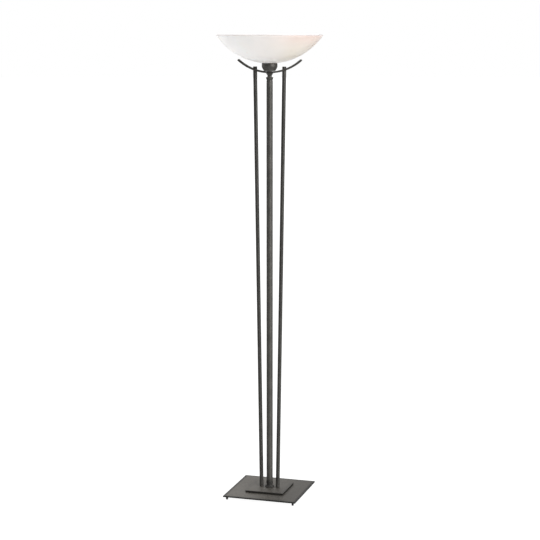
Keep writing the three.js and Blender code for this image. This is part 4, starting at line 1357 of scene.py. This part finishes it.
def add_lamp_tip():
    radius, bottom, top = round_size("lamp_contact_tip")
    corners = [
        (0, bottom, 0),
        (radius * 0.45, bottom, 0.0008),
        (radius * 0.8, bottom + (top - bottom) * 0.35, 0.0006),
        (radius, top - 0.0004, 0.0004),
        (radius, top, 0),
        (0, top, 0),
    ]
    turn_piece("lamp_tip", "lamp_contact_tip", "lamp_metal", LAMP_METAL, corners, closed=False, sides=48)


def add_lamp_insulator():
    radius, bottom, top = round_size("lamp_insulator")
    corners = [
        (0, bottom, 0),
        (radius_of("lamp_contact_tip") + INSULATOR_LIP, bottom, 0.0008),
        (radius, top, 0.0008),
        (0, top, 0),
    ]
    turn_piece(
        "lamp_black_glass", "lamp_insulator", "lamp_insulator", LAMP_INSULATOR, corners,
        closed=False, sides=72,
    )


def add_lamp_base():
    """Metal screw base: a rolled thread under a plain collar."""
    _, bottom, top = round_size("lamp_screw_base")
    thread_bottom, thread_top = bottom + LAMP_BASE_WALL, top - LAMP_BASE_COLLAR
    collar = LAMP_ROOT + LAMP_THREAD / 2
    bore = LAMP_ROOT - LAMP_BASE_WALL
    corners = [
        (INSULATOR_RADIUS, bottom, 0),
        *thread_rows(LAMP_ROOT, thread_bottom, thread_top, LAMP_THREAD_ROWS),
        (collar, thread_top + LAMP_THREAD, 0.0005),
        (collar, top, 0.0004),
        (bore, top, 0.0003),
        (bore, thread_bottom + LAMP_BASE_WALL, 0),
        (INSULATOR_RADIUS - LAMP_BASE_WALL, bottom, 0),
    ]

    def threaded(reach, height, angle):
        if abs(reach - LAMP_ROOT) > SAME_PLACE:
            return reach
        return reach + LAMP_THREAD * thread_wave(height, angle, thread_bottom, thread_top, LAMP_PITCH)

    turn_piece("lamp_cap", "lamp_screw_base", "lamp_metal", LAMP_METAL, corners, shape=threaded)


def envelope_side(inset):
    """Corners of the bulb's glass from its neck to its crown, a given depth inside its surface."""
    ball, bottom, top = round_size("lamp_envelope")
    base_top = high("lamp_screw_base").z
    neck_foot = LAMP_ROOT - LAMP_BASE_WALL - FIT_GAP - inset
    shoulder = base_top + LAMP_NECK / 2
    centre = top - ball
    corners = [
        (neck_foot, bottom, 0),
        (neck_foot, base_top + FIT_GAP, 0.0005),
        (LAMP_NECK - inset, base_top + 3 * FIT_GAP + LAMP_GLASS_WALL, 0.0008),
    ]
    for step in range(LAMP_SHOULDER_STEPS):
        along = step / LAMP_SHOULDER_STEPS
        swell = (1 - math.cos(math.pi * along)) / 2
        radius = LAMP_NECK + (ball - LAMP_NECK) * swell - inset
        corners.append((radius, shoulder + (centre - shoulder) * along, 0))
    for step in range(LAMP_CROWN_STEPS):
        angle = math.pi / 2 * step / LAMP_CROWN_STEPS
        corners.append(((ball - inset) * math.cos(angle), centre + (ball - inset) * math.sin(angle), 0))
    corners.append((0, centre + ball - inset, 0))
    return corners


def add_lamp_envelope():
    corners = envelope_side(0) + list(reversed(envelope_side(LAMP_GLASS_WALL)))
    turn_piece("frosted_envelope", "lamp_envelope", "lamp_glass", LAMP_GLASS, corners, sides=80)


# ---------------------------------------------------------------- CAD pieces that stay as they are

HIDDEN_FINISH = {
    "zinc": ZINC,
    "brass": BRASS,
    "lamp_glass": LAMP_GLASS,
    "filament": DULL_WIRE,
    "wire": WIRE_SKIN,
    "phenolic": PHENOLIC,
    "iron": IRON,
    "rubber": RUBBER,
    "lamp_metal": LAMP_METAL,
    "lamp_insulator": LAMP_INSULATOR,
    "opal_glass": OPAL,
    "fibre": FIBRE,
}


def finish_cad_pieces():
    for part in frame["record"]["subparts"]:
        node = NODES[part["node"]]
        node.data.materials.clear()
        node.data.materials.append(HIDDEN_FINISH[part["material_slot"]])


# ---------------------------------------------------------------- studio

FLOOR_RADIUS = 60


def add_floor():
    build = bmesh.new()
    bmesh.ops.create_circle(build, cap_ends=True, radius=FLOOR_RADIUS, segments=96)
    mesh = bpy.data.meshes.new("studio_floor")
    build.to_mesh(mesh)
    build.free()
    mesh.materials.append(floor_material())
    floor = bpy.data.objects.new("studio_floor", mesh)
    floor.location.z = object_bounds()[0][2]
    bpy.context.scene.collection.objects.link(floor)


# Soft lights of the studio: azimuth and elevation in degrees, cosine where the light fades out, and level.
# The first is the main one, to the right. The second is high behind the lamp, and the third low on its left.
LIGHTS = (
    (64, 28, 0.8, 7.5),
    (185, 72, 0.45, 1.8),
    (-110, 8, 0.35, 0.9),
)
AMBIENT = 0.03
BACKDROP_LEVEL = 1.0


def add_sky():
    """Even white behind the lamp, and the soft lights of the studio for everything else."""
    world = bpy.data.worlds.new("studio")
    bpy.context.scene.world = world
    world.use_nodes = True
    tree = world.node_tree
    maker = Maker(tree)
    background = tree.nodes["Background"]
    direction = maker.node("ShaderNodeTexCoord").outputs["Generated"]
    lit = AMBIENT
    for azimuth, elevation, fade, level in LIGHTS:
        turn, tilt = math.radians(azimuth), math.radians(elevation)
        near = maker.node("ShaderNodeVectorMath", operation="DOT_PRODUCT")
        maker.feed(near.inputs[0], direction)
        near.inputs[1].default_value = (
            math.sin(turn) * math.cos(tilt),
            -math.cos(turn) * math.cos(tilt),
            math.sin(tilt),
        )
        lit = maker.math("ADD", lit, maker.span(near.outputs["Value"], fade, 1.0, 0.0, level))
    for_camera = maker.node("ShaderNodeLightPath").outputs["Is Camera Ray"]
    maker.feed(background.inputs["Strength"], maker.mix_value(for_camera, lit, BACKDROP_LEVEL))
    background.inputs["Color"].default_value = (1, 1, 1, 1)


add_camera()
add_feet()
add_plates()
add_foot_fixings()
add_cord_inlet()
add_flange()
add_pole_tube()
add_collar()
add_neck()
add_rods()
add_crescent_bar()
add_cup()
add_gasket()
add_bowl()
add_holder_cover()
add_holder_skirt()
add_slip_washer()
add_ring()
add_lamp_tip()
add_lamp_insulator()
add_lamp_base()
add_lamp_envelope()
finish_cad_pieces()
add_floor()
add_sky()

bpy.context.scene.view_settings.view_transform = "Standard"
bpy.context.scene.view_settings.look = "None"
